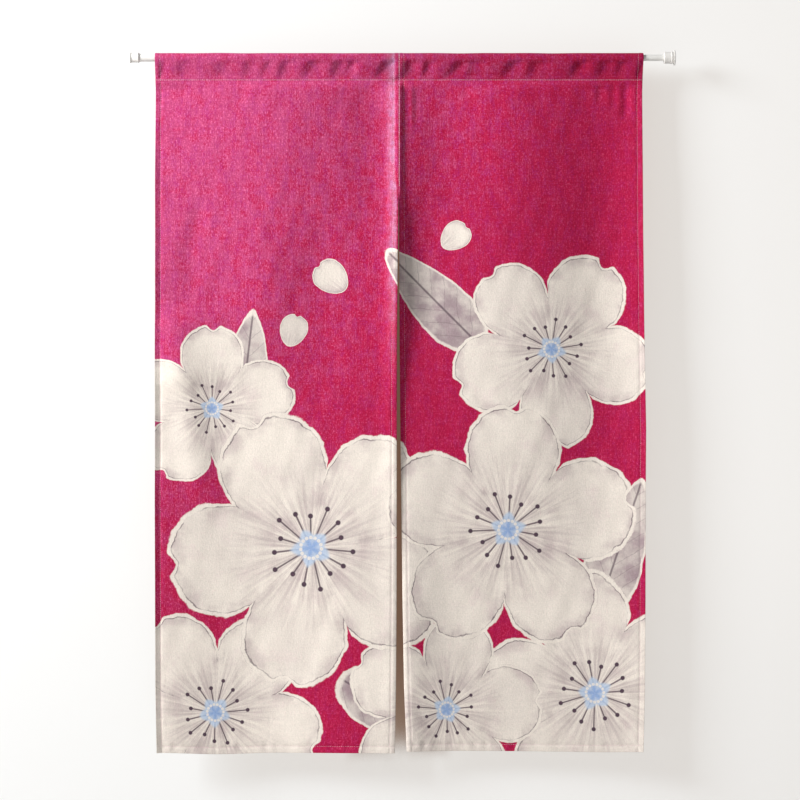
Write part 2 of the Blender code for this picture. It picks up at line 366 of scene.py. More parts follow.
@dataclass
class ClothPanel:
    """One panel of cloth: a thin sheet with turned hems and its top sewn round the rod."""

    side: Side
    shape: ClothShape
    weave: Weave
    rod_radius: float

    def __post_init__(self) -> None:
        """Works out the flat panel's width and where its left edge lies."""
        middle = 0.5
        left, right = self.shape.sides(self.side, np.array(middle))
        self.width = float(right - left)
        self.flat_left = float(left)

    def turned_edge(self, length: float) -> list[tuple[float, float, float]]:
        """A hem seen in section, from its hidden edge round to the front.

        Args:
            length: How wide the hem is.

        Returns:
            Rows of distance in from the folded edge, distance behind the front layer, and
            distance along the cloth from the fold, below 0 on the back.
        """
        weave = self.weave
        radius = weave.layer / 2.0
        arc = math.pi * radius / 2.0
        points = []
        for step in range(weave.back_steps):
            inward = length + (radius - length) * step / weave.back_steps
            points.append((inward, weave.layer, radius - inward - arc))
        for step in range(weave.turn_steps + 1):
            turn = math.pi * (step / weave.turn_steps - 0.5)
            points.append((radius * (1.0 - math.cos(turn)), radius * (1.0 - math.sin(turn)), turn * radius))
        return points

    def hem_zone(self, width: float) -> list[float]:
        """Even steps over a hem and the cloth just beside it, from the fold inwards."""
        steps = self.weave.hem_steps
        return [width * (step + 1) / (steps + 1) for step in range(steps)]

    def columns(self) -> np.ndarray:
        """Every column of the grid, closer together beside the slit.

        Returns:
            Rows of share across the panel, shift in x, layers behind, and flat x.
        """
        weave = self.weave
        hem = weave.side_hem + weave.beside_hem
        left = [(0.0, inward, back, along) for inward, back, along in self.turned_edge(weave.side_hem)]
        left += [(0.0, inward, 0.0, inward) for inward in self.hem_zone(hem)]
        even = np.linspace(hem, self.width - hem, weave.even_steps)
        from_slit = self.width - even if self.side is Side.LEFT else even
        dense = np.cumsum(1.0 + weave.crowd * bell(from_slit, weave.crowd_wide))
        steps = np.linspace(dense[0], dense[-1], weave.columns + 1)
        middle = [(flat / self.width, 0.0, 0.0, flat) for flat in np.interp(steps, dense, even)]
        right = [(1.0, -inward, back, self.width - along) for _, inward, back, along in reversed(left)]
        return np.array(left + middle + right)

    def rows(self) -> tuple[np.ndarray, np.ndarray]:
        """Every row of the grid, in the sheet and in the pocket.

        Returns:
            The sheet's rows of drop, layers behind and flat height, then the pocket's rows of
            y, z, inward normal y and z, and flat height.
        """
        weave, shape = self.weave, self.shape
        hem = weave.bottom_hem + weave.above_hem
        turned = self.turned_edge(weave.bottom_hem)
        sheet = [(shape.hem_drop - inward, back, along) for inward, back, along in turned]
        sheet += [(shape.hem_drop - inward, 0.0, inward) for inward in self.hem_zone(hem)]
        top = shape.stitch_drop + weave.above_stitches
        for step in range(weave.rows + 1):
            drop = shape.hem_drop - hem - (shape.hem_drop - hem - top) * step / weave.rows
            sheet.append((drop, 0.0, shape.hem_drop - drop))
        return np.array(sheet), self.pocket_rows(shape.hem_drop - shape.stitch_drop)

    def pocket_rows(self, flat: float) -> np.ndarray:
        """The pocket's rows, from the front stitches over the rod to the back ones and the turned edge.

        Args:
            flat: The flat height of the front stitches.

        Returns:
            Rows of y, z, inward normal y and z, and flat height.
        """
        weave, drop = self.weave, self.shape.stitch_drop
        radius = self.rod_radius + weave.rod_gap + weave.layer + weave.thick / 2.0
        foot, back = weave.layer / 2.0 + weave.foot_gap, weave.layer
        points = []
        for step in range(weave.front_steps):
            share = step / weave.front_steps
            rise = float(eased(np.array((share - weave.hug_low) / (weave.hug_high - weave.hug_low))))
            out = (1.0 - weave.straight) * rise + weave.straight * share
            points.append((-foot - (radius - foot) * out, -drop * (1.0 - share)))
        for step in range(weave.arc_steps + 1):
            turn = math.pi * (1.0 - step / weave.arc_steps)
            points.append((radius * math.cos(turn), radius * math.sin(turn)))
        back_steps = weave.front_steps // 2
        for step in range(1, back_steps + 1):
            share = 1.0 - step / back_steps
            points.append((back + (radius - back) * share, -drop * (1.0 - share)))
        for step in range(1, weave.flap_steps + 1):
            points.append((back, -drop - weave.pocket_turn * step / weave.flap_steps))
        path = np.array(points)
        along = np.gradient(path, axis=0)
        along /= np.linalg.norm(along, axis=1)[:, None]
        steps = np.linalg.norm(np.diff(path, axis=0), axis=1)
        height = flat + np.concatenate([[0.0], np.cumsum(steps)])
        return np.column_stack([path, along[:, 1], -along[:, 0], height])

    def stitch_groove(self, flat_x: np.ndarray, flat_z: np.ndarray) -> np.ndarray:
        """How deep the stitches pull the cloth in along the hems and the pocket.

        Args:
            flat_x: Distances across the flat cloth.
            flat_z: Distances up the flat cloth.

        Returns:
            Metres towards the back.
        """
        weave = self.weave
        low_hem_wide = 1.4
        from_side = abs(np.minimum(flat_x, self.width - flat_x)) - (weave.side_hem - weave.inset)
        from_hem = abs(flat_z) - (weave.bottom_hem - weave.inset)
        from_pocket = flat_z - (self.shape.hem_drop - self.shape.stitch_drop)
        nearest = np.minimum(np.minimum(abs(from_side), abs(from_hem) / low_hem_wide), abs(from_pocket))
        groove = weave.groove * bell(nearest, weave.groove_wide)
        return groove + weave.pinch * bell(from_pocket, weave.pinch_wide)

    def pucker_depth(self, x: np.ndarray, drop: np.ndarray) -> np.ndarray:
        """How deep the stitches' pull dents the pocket's front.

        Args:
            x: Distances from the seam's line.
            drop: Drops below the rod's axis.

        Returns:
            Metres towards the back, before they are limited by the room before the rod.
        """
        span = self.shape.stitch_drop
        top, rise, foot = 0.06 * span, 0.26 * span, 0.24 * span
        steep, gentle = 0.7, 1.4
        total = np.zeros(np.broadcast(x, drop).shape)
        for pucker in self.shape.puckers:
            wide = pucker.wide_mm * MM
            away = x - pucker.x - steep * wide - pucker.lean * (0.5 * span - drop)
            wide = wide * np.where(away < 0.0, steep, gentle)
            total = total + self.weave.pull * pucker.depth_mm * MM * bell(away, wide)
        return total * eased((drop - top) / rise) * eased((span - drop) / foot)

    def tug_depth(self, flat_x: np.ndarray, flat_z: np.ndarray) -> np.ndarray:
        """The small dents that the stitches tug into the cloth along the hems.

        Args:
            flat_x: Distances across the flat cloth.
            flat_z: Distances up the flat cloth.

        Returns:
            Metres towards the back, below 0 on a swelling.
        """
        weave = self.weave
        from_side = abs(np.minimum(flat_x, self.width - flat_x)) / weave.side_hem
        from_hem = abs(flat_z) / weave.bottom_hem
        at_side = bell(from_side - weave.tug_at, weave.tug_wide)
        at_hem = bell(from_hem - weave.tug_at, weave.tug_wide)
        along_side = lumps(0.0 * flat_x, flat_z, 21, 1.0, 0.024) * at_side
        along_hem = lumps(flat_x, 0.0 * flat_z, 22, 0.022, 1.0) * at_hem
        return weave.tug * (along_side + 1.3 * along_hem)

    def hung(self, x: np.ndarray, drop: np.ndarray, flat_x: np.ndarray, flat_z: np.ndarray) -> np.ndarray:
        """Where the cloth's front layer hangs, with its folds, grooves and tugs.

        Args:
            x: Distances from the seam's line.
            drop: Drops below the rod's axis.
            flat_x: Distances across the flat cloth.
            flat_z: Distances up the flat cloth.

        Returns:
            Its y, below 0 towards the front.
        """
        start = eased((drop - self.shape.stitch_drop) / self.shape.folds_start)
        tug = self.tug_depth(flat_x, flat_z) * start
        return self.stitch_groove(flat_x, flat_z) + tug - self.shape.depth(self.side, x, drop)

    def in_hem(self, flat_x: np.ndarray) -> np.ndarray:
        """1 where a side hem has its second layer, 0 beside it and smooth between."""
        from_side = np.minimum(flat_x, self.width - flat_x)
        return eased((self.weave.side_hem + self.weave.hem_blend - from_side) / self.weave.hem_blend)

    def across(self, drop: np.ndarray, share: np.ndarray, shift: np.ndarray) -> np.ndarray:
        """The x of places at some drops, shares of the panel's width and shifts."""
        left, right = self.shape.sides(self.side, drop)
        return left + (right - left) * share + shift

    def sheet(self, rows: np.ndarray, columns: np.ndarray) -> np.ndarray:
        """Places of the hanging sheet, from its bottom hem up to the pocket's stitches.

        Args:
            rows: The sheet's rows.
            columns: The grid's columns.

        Returns:
            Places with the shape (rows, columns, 3).
        """
        share, shift, layers, flat_x = (column[None, :] for column in columns.T)
        drop, behind, flat_z = (row[:, None] for row in rows.T)
        x = self.across(drop, share, shift)
        y = self.hung(x, drop, flat_x, flat_z) + behind * (1.0 + self.in_hem(flat_x)) + layers
        return np.stack([x, y, -drop * self.shape.hang(x)], axis=-1)

    def dent(self, x: np.ndarray, place_y: np.ndarray, place_z: np.ndarray) -> np.ndarray:
        """How far the pocket's front is dented, limited by the room before the rod.

        Args:
            x: Distances from the seam's line.
            place_y: The undented pocket's y.
            place_z: Its z.

        Returns:
            Metres towards the back.
        """
        down = np.clip(-place_z / self.shape.stitch_drop, 0.0, 1.0)
        reach, least = 1.5 * MM, 0.2 * MM
        rod = np.sqrt(np.clip((self.rod_radius + 2.0 * self.weave.rod_gap) ** 2 - place_z ** 2, 0.0, None))
        room = np.maximum(2.0 * np.abs(place_y) + reach * down - 3.0 * rod, least)
        return room * (1.0 - np.exp(-self.pucker_depth(x, -place_z) / room)) * (place_z < 0.0)

    def pocket(self, rows: np.ndarray, columns: np.ndarray) -> np.ndarray:
        """Places of the pocket, whose back leg and turned edge follow the front.

        Args:
            rows: The pocket's rows.
            columns: The grid's columns.

        Returns:
            Places with the shape (rows, columns, 3).
        """
        weave, shape = self.weave, self.shape
        share, shift, layers, flat_x = (column[None, :] for column in columns.T)
        place_y, place_z, in_y, in_z, _ = (row[:, None] for row in rows.T)
        x = self.across(np.clip(-place_z, 0.0, None), share, shift)
        front, hanging = place_y < 0.0, place_z < 0.0
        down = np.clip(-place_z / shape.stitch_drop, 0.0, 1.0)
        in_hem = self.in_hem(flat_x)
        dent = self.dent(x, place_y, place_z)
        level = np.where(hanging, shape.hem_drop + place_z, weave.out_of_reach)
        groove = self.stitch_groove(flat_x, level)
        swelling = 0.4 * weave.layer * in_hem * (layers <= 0.0) * (down < 0.6)
        push = layers + 0.4 * groove * ~hanging - swelling
        move = np.where(front, dent + groove * hanging, (0.8 * dent + groove * hanging) * down)
        move = move + 2.0 * weave.layer * in_hem * down * ~front
        flap = place_z < -shape.stitch_drop
        move = np.where(flap, self.hung(x, -place_z, flat_x, level) + 2.0 * weave.layer * in_hem, move)
        slack = weave.slack * lumps(x, place_z, 11, 0.11, 0.30) * ~hanging
        return np.stack([x, place_y + in_y * push + move, place_z + in_z * push + slack], axis=-1)

    def surface(self) -> tuple[np.ndarray, np.ndarray]:
        """Places and flat coordinates of the whole grid.

        Returns:
            Places with the shape (rows, columns, 3), and flat x and z with (rows, columns, 2).
        """
        columns = self.columns()
        sheet, pocket = self.rows()
        places = np.concatenate([self.sheet(sheet, columns), self.pocket(pocket, columns)])
        height = np.concatenate([sheet[:, -1], pocket[:, -1]])
        flat = np.broadcast_arrays(columns[None, :, -1] + self.flat_left, height[:, None])
        return places, np.stack(flat, axis=-1)

    def build(self, face: bpy.types.Material, back: bpy.types.Material) -> bpy.types.Object:
        """The panel as one sheet, with its print on the face and its strike-through on the back.

        Args:
            face: The printed face's material.
            back: The back's material.

        Returns:
            The cloth.
        """
        places, flat = self.surface()
        rows, columns = places.shape[:2]
        bm = bmesh.new()
        bmesh.ops.create_grid(bm, x_segments=columns - 1, y_segments=rows - 1, size=0.5)
        for vert in bm.verts:
            column = round((vert.co.x + 0.5) * (columns - 1))
            row = round((vert.co.y + 0.5) * (rows - 1))
            vert.index = row * columns + column
        bm.verts.sort()
        for vert in bm.verts:
            vert.co = places[divmod(vert.index, columns)]
        made = finished(bm, self.side.value + "_cloth")
        lay_flat(made.data, flat.reshape(-1, 2))
        made.data.materials.append(face)
        made.data.materials.append(back)
        thick = made.modifiers.new("cloth", "SOLIDIFY")
        thick.thickness = self.weave.thick
        thick.offset = 0.0
        thick.use_even_offset = False
        thick.material_offset = 1
        thick.material_offset_rim = 0
        return made


def finished(bm: bmesh.types.BMesh, name: str, sharp: float = 40.0) -> bpy.types.Object:
    """An object of a finished bmesh, smooth but for its sharp edges.

    Args:
        bm: The finished bmesh, which is freed.
        name: The piece's name.
        sharp: Edges that turn further than this many degrees stay sharp.

    Returns:
        The object, linked to the scene and at the origin.
    """
    mesh = bpy.data.meshes.new(name)
    bm.to_mesh(mesh)
    bm.free()
    mesh.shade_smooth()
    mesh.set_sharp_from_angle(angle=math.radians(sharp))
    made = bpy.data.objects.new(name, mesh)
    bpy.context.scene.collection.objects.link(made)
    return made


def lay_flat(mesh: bpy.types.Mesh, flat: np.ndarray) -> None:
    """Gives a mesh a UV map of its cloth's flat coordinates in metres.

    Args:
        mesh: The cloth's mesh.
        flat: Flat x and z, one pair for each vertex.
    """
    corners = np.zeros(len(mesh.loops), np.int32)
    mesh.loops.foreach_get("vertex_index", corners)
    layer = mesh.uv_layers.new(name="flat")
    layer.data.foreach_set("uv", flat[corners].astype(np.float32).ravel())


@dataclass
class StitchRun:
    """One straight run of machine stitches in the cloth's flat coordinates."""

    start: tuple[float, float]
    end: tuple[float, float]
    fat: float = 1.0


@dataclass
class Stitches:
    """The machine stitches along a panel's hems, pocket and seam, as small threads."""

    panel: ClothPanel
    pitch: float = 3.2 * MM
    thread: float = 0.42 * MM
    seam_long: float = 0.1838
    over_pocket: float = 0.049
    from_fold: float = 1.5 * MM
    from_end: float = 1.0 * MM
    seam_in: float = 0.9 * MM
    seam_fat: float = 1.9
    pocket_fat: float = 1.35
    most_of_pitch: float = 0.97

    def __post_init__(self) -> None:
        """Reads the panel's grid."""
        self.places, self.flat = self.panel.surface()

    def place(self, flat_x: float, flat_z: float) -> tuple[Vector, Vector]:
        """A point of the cloth and its outward normal at flat coordinates, read from the grid.

        Args:
            flat_x: Distance across the panel from its left edge.
            flat_z: Distance along the cloth from the hem's fold.

        Returns:
            The point and the direction away from the cloth.
        """
        across = self.flat[0, :, 0] - self.panel.flat_left
        along = self.flat[:, 0, 1]
        column = np.interp(flat_x, across, np.arange(len(across)))
        row = np.interp(flat_z, along, np.arange(len(along)))
        c, r = int(min(column, len(across) - 2)), int(min(row, len(along) - 2))
        u, v = column - c, row - r
        corner = self.places[r:r + 2, c:c + 2]
        point = (corner[0, 0] * (1 - u) * (1 - v) + corner[0, 1] * u * (1 - v)
                 + corner[1, 0] * (1 - u) * v + corner[1, 1] * u * v)
        normal = np.cross(corner[0, 1] - corner[0, 0], corner[1, 0] - corner[0, 0])
        normal = normal / np.linalg.norm(normal)
        return Vector(point), Vector(normal)

    def runs(self) -> list[StitchRun]:
        """Every run of stitches on the panel.

        Returns:
            The side hems', the bottom hem's and the pocket's runs on the front, the hems' on the
            back, and on the right panel the seam's.
        """
        panel, weave = self.panel, self.panel.weave
        side, hem = weave.side_hem - weave.inset, weave.bottom_hem - weave.inset
        top = panel.shape.hem_drop - panel.shape.stitch_drop
        over = top + self.over_pocket
        right, fold, end = panel.width - side, self.from_fold, self.from_end
        found = [
            StitchRun((side, hem), (side, over)),
            StitchRun((right, hem), (right, over)),
            StitchRun((fold, hem), (panel.width - fold, hem)),
            StitchRun((end, top), (panel.width - end, top), self.pocket_fat),
            StitchRun((-side, hem), (-side, top)),
            StitchRun((panel.width + side, hem), (panel.width + side, top)),
            StitchRun((fold, -hem), (panel.width - fold, -hem)),
        ]
        if panel.side is Side.RIGHT:
            found.append(StitchRun((self.seam_in, top - self.seam_long), (self.seam_in, over), self.seam_fat))
        return found

    def build(self, finish: bpy.types.Material) -> bpy.types.Object:
        """All the stitches of the panel as one joined mesh.

        Args:
            finish: The thread's material.

        Returns:
            The stitches.
        """
        template = self.template()
        bm = bmesh.new()
        draw = np.random.default_rng(3 if self.panel.side is Side.LEFT else 4)
        for run in self.runs():
            start, end = np.array(run.start), np.array(run.end)
            long = float(np.linalg.norm(end - start))
            count = int(long / self.pitch)
            for step in range(count):
                middle = start + (end - start) * ((step + 0.5) / count)
                ahead = middle + (end - start) / long * 0.5 * MM
                stitch = template.copy()
                share = min(draw.uniform(0.60, 0.80) * run.fat, self.most_of_pitch)
                stitch.transform(self.lie(middle, ahead, share, draw.uniform(0.85, 1.15) * run.fat))
                bm.from_mesh(stitch)
                bpy.data.meshes.remove(stitch)
        bpy.data.meshes.remove(template)
        made = finished(bm, self.panel.side.value + "_stitches", 80.0)
        made.data.materials.append(finish)
        return made

    def template(self) -> bpy.types.Mesh:
        """One stitch of unit size, a plump thread that tapers into the cloth at both ends.

        Returns:
            Its mesh, long in x.
        """
        bm = bmesh.new()
        bmesh.ops.create_uvsphere(bm, u_segments=6, v_segments=4, radius=1.0)
        bmesh.ops.rotate(bm, verts=bm.verts, cent=(0, 0, 0), matrix=Matrix.Rotation(math.pi / 2.0, 3, "Y"))
        mesh = bpy.data.meshes.new("stitch")
        bm.to_mesh(mesh)
        bm.free()
        return mesh

    def lie(self, middle: np.ndarray, ahead: np.ndarray, share: float, fat: float) -> Matrix:
        """Where one stitch lies.

        Args:
            middle: Its middle in flat coordinates.
            ahead: A point a little further along the run.
            share: The part of the pitch that shows.
            fat: How thick the thread lies, as a factor near 1.

        Returns:
            The matrix that lays the unit stitch on the cloth.
        """
        point, normal = self.place(middle[0], middle[1])
        further, _ = self.place(ahead[0], ahead[1])
        along = (further - point).normalized()
        across = normal.cross(along).normalized()
        lift = normal * (self.panel.weave.thick / 2.0 + 0.10 * MM)
        turn = Matrix((along, across, normal)).transposed().to_4x4()
        size = Matrix.Diagonal((share * self.pitch / 2.0, self.thread * fat / 2.0, self.thread / 2.0, 1.0))
        return Matrix.Translation(point + lift) @ turn @ size


@dataclass
class Rod:
    """The telescopic rod: two tubes, and a cup with a rubber foot at each end."""

    steps: int = 48
    sharp: float = 32.0
    doubles: float = 0.01 * MM
    outer_wall: float = 1.0 * MM
    inner_wall: float = 0.8 * MM
    lip: float = 0.35 * MM
    cup_floor: float = 3.0 * MM
    cup_play: float = 0.25 * MM
    cup_edge: float = 0.7 * MM
    ring_half: float = 0.6 * MM
    ring_slope: float = 0.3 * MM
    pressed: float = 0.25 * MM

    def __post_init__(self) -> None:
        """Reads the places of the rod's pieces from the frame."""
        names = ("outer_tube", "inner_tube", "left_cap", "right_cap", "left_foot", "right_foot")
        self.boxes = {name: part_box(name) for name in names}

    def ends(self, node: str, out: float) -> tuple[float, float]:
        """The x of a solid's outer and inner end, where out is -1 at the left and 1 at the right."""
        low, high = self.boxes[node]
        return (low[0], high[0]) if out < 0 else (high[0], low[0])

    def turned(self, name: str, profile: Sequence[tuple[float, float]], closed: bool) -> bpy.types.Object:
        """A piece turned round the rod's axis.

        Args:
            name: The piece's name.
            profile: Points of x and radius.
            closed: Whether the profile is a closed loop and not a line between two poles.

        Returns:
            The piece, at its place.
        """
        bm = bmesh.new()
        verts = [bm.verts.new((x, 0.0, radius)) for x, radius in profile]
        edges = [bm.edges.new(pair) for pair in zip(verts, verts[1:])]
        if closed:
            edges.append(bm.edges.new((verts[-1], verts[0])))
        bmesh.ops.spin(
            bm, geom=verts + edges, cent=(0, 0, 0), axis=(1, 0, 0), angle=math.tau, steps=self.steps,
            use_merge=True,
        )
        bmesh.ops.remove_doubles(bm, verts=bm.verts, dist=self.doubles)
        bmesh.ops.recalc_face_normals(bm, faces=bm.faces)
        return finished(bm, name, self.sharp)

    def tubes(self, paint: bpy.types.Material) -> list[bpy.types.Object]:
        """The two tubes, the outer one with a rolled lip where the inner one slides in.

        Args:
            paint: Their material.

        Returns:
            The outer and the inner tube.
        """
        low, high = self.boxes["outer_tube"]
        end, radius, bore = high[0], high[2], high[2] - self.outer_wall
        waist = radius - self.lip
        outer = [(low[0], radius), (end - 5.0 * MM, radius), (end - 4.0 * MM, waist), (end - 2.2 * MM, waist)]
        outer += [(end - 1.4 * MM, radius), (end - self.lip, radius), (end, waist)]
        outer += [(end, bore), (low[0], bore)]
        low, high = self.boxes["inner_tube"]
        start, end, radius, bore = low[0], high[0], high[2], high[2] - self.inner_wall
        inner = [(start, radius - 0.2 * MM), (start + 0.3 * MM, radius), (end, radius)]
        inner += [(end, bore), (start, bore)]
        made = [self.turned("outer_tube_skin", outer, True), self.turned("inner_tube_skin", inner, True)]
        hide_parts("outer_tube")
        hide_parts("inner_tube")
        for piece in made:
            piece.data.materials.append(paint)
        return made

    def cup(
        self, node: str, out: float, ring: float, ring_at: float, plastic: bpy.types.Material,
    ) -> bpy.types.Object:
        """An end cup with a moulded ring and rounded edges.

        Args:
            node: The cup's solid.
            out: -1 where the cup faces left, 1 where it faces right.
            ring: How far the moulded ring stands out.
            ring_at: Where it stands, as a share from the cup's floor to its mouth.
            plastic: The cup's material.

        Returns:
            The cup.
        """
        floor, mouth = self.ends(node, out)
        tube = self.boxes["outer_tube" if out < 0 else "inner_tube"][1][2]
        long, radius, bore = abs(mouth - floor), float(self.boxes[node][1][2]) - ring, tube + self.cup_play
        edge, half, at = self.cup_edge, self.ring_half, ring_at * long
        slope = half + self.ring_slope
        shape = [(0.0, 0.0), (0.0, radius - edge)]
        for turn in (0.4, 0.8, 1.2, 1.57):
            shape.append((edge * (1 - math.cos(turn)), radius - edge * (1 - math.sin(turn))))
        shape += [(at - slope, radius), (at - half, radius + ring), (at + half, radius + ring)]
        shape += [(at + slope, radius), (long - 0.5 * MM, radius - 0.15 * MM), (long, radius - 0.6 * MM)]
        shape += [(long, bore), (self.cup_floor, bore), (self.cup_floor, 0.0)]
        made = self.turned(node + "_moulding", [(floor - out * x, r) for x, r in shape if x <= long], False)
        made.data.materials.append(plastic)
        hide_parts(node)
        return made

    def foot(self, node: str, out: float, rubber: bpy.types.Material) -> bpy.types.Object:
        """A rubber foot with a rounded rim and two rings pressed into its face.

        Args:
            node: The foot's solid.
            out: -1 where the foot faces left, 1 where it faces right.
            rubber: The foot's material.

        Returns:
            The foot.
        """
        face, back = self.ends(node, out)
        long, radius = abs(back - face), float(self.boxes[node][1][2])
        shape = [(0.0, 0.0)]
        for start, deep, rise, end in ((0.30, 0.34, 0.40, 0.44), (0.66, 0.70, 0.76, 0.80)):
            shape += [(0.0, start * radius), (self.pressed, deep * radius)]
            shape += [(self.pressed, rise * radius), (0.0, end * radius)]
        shape += [(0.0, radius - 0.5 * MM), (0.15 * MM, radius - 0.15 * MM), (0.5 * MM, radius)]
        shape += [(long - 0.3 * MM, radius), (long, radius - 0.3 * MM), (long, 0.0)]
        made = self.turned(node + "_pad", [(face - out * x, r) for x, r in shape], False)
        made.data.materials.append(rubber)
        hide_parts(node)
        return made


Socket = bpy.types.NodeSocket
Value = float | Socket


class Sketch:
    """Writes shader nodes as sums, in a material or in a node group."""

    def __init__(self, tree: bpy.types.NodeTree) -> None:
        """Takes the node tree that it writes into."""
        self.tree = tree

    def node(self, kind: str, settings: dict | None = None, inputs: dict | None = None) -> bpy.types.Node:
        """A node with its settings, and its inputs set or linked.

        Args:
            kind: Blender's name of the node's type.
            settings: Properties of the node.
            inputs: Values or sockets by input name or number.

        Returns:
            The node.
        """
        made = self.tree.nodes.new(kind)
        for name, value in (settings or {}).items():
            setattr(made, name, value)
        for name, value in (inputs or {}).items():
            self.feed(made.inputs[name], value)
        return made

    def feed(self, socket: Socket, value: Value | Sequence[float]) -> None:
        """Links a socket to an input, or sets the input's own value.

        Args:
            socket: The input.
            value: The socket or the value.
        """
        if isinstance(value, bpy.types.NodeSocket):
            self.tree.links.new(value, socket)
        else:
            socket.default_value = value

    def math(self, operation: str, *values: Value) -> Socket:
        """A Math node's result."""
        return self.node("ShaderNodeMath", {"operation": operation}, dict(enumerate(values))).outputs[0]

    def chain(self, operation: str, values: Sequence[Value]) -> Socket:
        """The result of a Math operation on the first two values, then on that and the next, and so on."""
        return reduce(lambda total, value: self.math(operation, total, value), values)

    def add(self, *values: Value) -> Socket:
        """The sum of some values."""
        return self.chain("ADD", values)

    def times(self, *values: Value) -> Socket:
        """The product of some values."""
        return self.chain("MULTIPLY", values)

    def step(self, value: Value, start: Value, end: Value) -> Socket:
        """0 before start, 1 after end and smooth between, also where start lies above end."""
        inputs = {"Value": value, "From Min": start, "From Max": end, "To Min": 0.0, "To Max": 1.0}
        return self.node("ShaderNodeMapRange", {"interpolation_type": "SMOOTHSTEP"}, inputs).outputs[0]

    def vector(self, operation: str, *values: Value | Sequence[float]) -> Socket:
        """A Vector Math node's result.

        Args:
            operation: Blender's name of the operation.
            values: What it works on, in order.

        Returns:
            A number for a length, and a vector otherwise.
        """
        made = self.node("ShaderNodeVectorMath", {"operation": operation}, dict(enumerate(values)))
        return made.outputs["Value" if operation == "LENGTH" else "Vector"]

    def split(self, value: Socket) -> tuple[Socket, Socket, Socket]:
        """The three numbers of a vector."""
        made = self.node("ShaderNodeSeparateXYZ", None, {0: value})
        return made.outputs[0], made.outputs[1], made.outputs[2]

    def join(self, x: Value, y: Value, z: Value = 0.0) -> Socket:
        """A vector of three numbers."""
        return self.node("ShaderNodeCombineXYZ", None, {0: x, 1: y, 2: z}).outputs[0]

    def blend(
        self, kind: Mixed, share: Value, first: Value | Sequence[float], second: Value | Sequence[float],
    ) -> Socket:
        """A mix of two numbers, vectors or colours.

        Args:
            kind: What is mixed.
            share: 0 for the first, 1 for the second.
            first: The first.
            second: The second.

        Returns:
            The mix.
        """
        at = 2 + 2 * kind.value
        made = self.node("ShaderNodeMix", {"data_type": kind.name}, {0: share, at: first, at + 1: second})
        return made.outputs[kind.value]

    def mix(self, share: Value, first: Value | Sequence[float], second: Value | Sequence[float]) -> Socket:
        """A mix of two colours."""
        return self.blend(Mixed.RGBA, share, rgba(first), rgba(second))

    def raised(self, strength: float, distance: float, height: Socket) -> Socket:
        """A bump's normal."""
        inputs = {"Strength": strength, "Distance": distance, "Height": height}
        return self.node("ShaderNodeBump", None, inputs).outputs[0]

    def noise(self, vector: Socket, scale: float, detail: float = 2.0, rough: float = 0.5) -> Socket:
        """Noise about 0.5 at a vector."""
        inputs = {"Vector": vector, "Scale": scale, "Detail": detail, "Roughness": rough}
        return self.node("ShaderNodeTexNoise", None, inputs).outputs[0]


def rgba(value: Value | Sequence[float]) -> Value | Sequence[float]:
    """A colour of three numbers as one of four, and a socket as it is.

    Args:
        value: The colour or the socket.

    Returns:
        What a colour input takes.
    """
    if isinstance(value, (tuple, list)) and len(value) == 3:
        return (*value, 1.0)
    return value


def group(
    name: str, inputs: dict[str, str], outputs: dict[str, str],
) -> tuple[bpy.types.NodeTree, dict[str, Socket], Callable[[str, Socket], None]]:
    """An empty shader node group.

    Args:
        name: The group's name.
        inputs: Socket kinds (Float, Vector or Color) by input name.
        outputs: The same for the outputs.

    Returns:
        The group, its input sockets by name, and a function that feeds an output by name.
    """
    tree = bpy.data.node_groups.new(name, "ShaderNodeTree")
    for label, kind in inputs.items():
        tree.interface.new_socket(label, in_out="INPUT", socket_type="NodeSocket" + kind)
    for label, kind in outputs.items():
        tree.interface.new_socket(label, in_out="OUTPUT", socket_type="NodeSocket" + kind)
    start = tree.nodes.new("NodeGroupInput")
    end = tree.nodes.new("NodeGroupOutput")
    given = {label: start.outputs[label] for label in inputs}

    def put(label: str, socket: Socket) -> None:
        """Feeds one of the group's outputs."""
        tree.links.new(socket, end.inputs[label])

    return tree, given, put


def placed(sketch: Sketch, tree: bpy.types.NodeTree, inputs: dict) -> bpy.types.Node:
    """A group placed in a sketch with its inputs fed."""
    return sketch.node("ShaderNodeGroup", {"node_tree": tree}, inputs)


@dataclass(frozen=True)
class Motif:
    """One blossom, loose petal or leaf of the print, placed in metres on the hung curtain."""

    kind: Kind
    x: float
    drop: float
    size: float
    turn: float


@dataclass(frozen=True)
class PrintDesign:
    """A generic painted blossom design, drawn from back to front."""

    petals: int = 5
    reach: float = 0.56
    long: float = 0.46
    wide: float = 0.385
    leaf_wide: float = 0.17
    motifs: tuple = (
        Motif(Kind.LEAF, 0.165, 0.520, 0.27, 2.35),
        Motif(Kind.LEAF, -0.010, 0.930, 0.26, 0.9),
        Motif(Kind.LEAF, -0.280, 0.690, 0.26, 1.45),
        Motif(Kind.LEAF, 0.330, 0.980, 0.26, 1.25),
        Motif(Kind.LEAF, -0.120, 1.050, 0.25, -0.55),
        Motif(Kind.BLOSSOM, -0.320, 0.600, 0.140, 0.3),
        Motif(Kind.BLOSSOM, 0.262, 0.500, 0.172, 1.0),
        Motif(Kind.BLOSSOM, -0.315, 1.120, 0.185, 0.9),
        Motif(Kind.BLOSSOM, 0.335, 1.090, 0.205, 0.5),
        Motif(Kind.BLOSSOM, 0.075, 1.120, 0.165, 0.1),
        Motif(Kind.BLOSSOM, -0.150, 0.840, 0.240, 0.75),
        Motif(Kind.BLOSSOM, 0.185, 0.810, 0.215, 0.25),
        Motif(Kind.PETAL, -0.085, 0.405, 0.075, 2.4),
        Motif(Kind.PETAL, 0.070, 0.330, 0.065, 0.7),
        Motif(Kind.PETAL, -0.190, 0.500, 0.060, 1.3),
    )


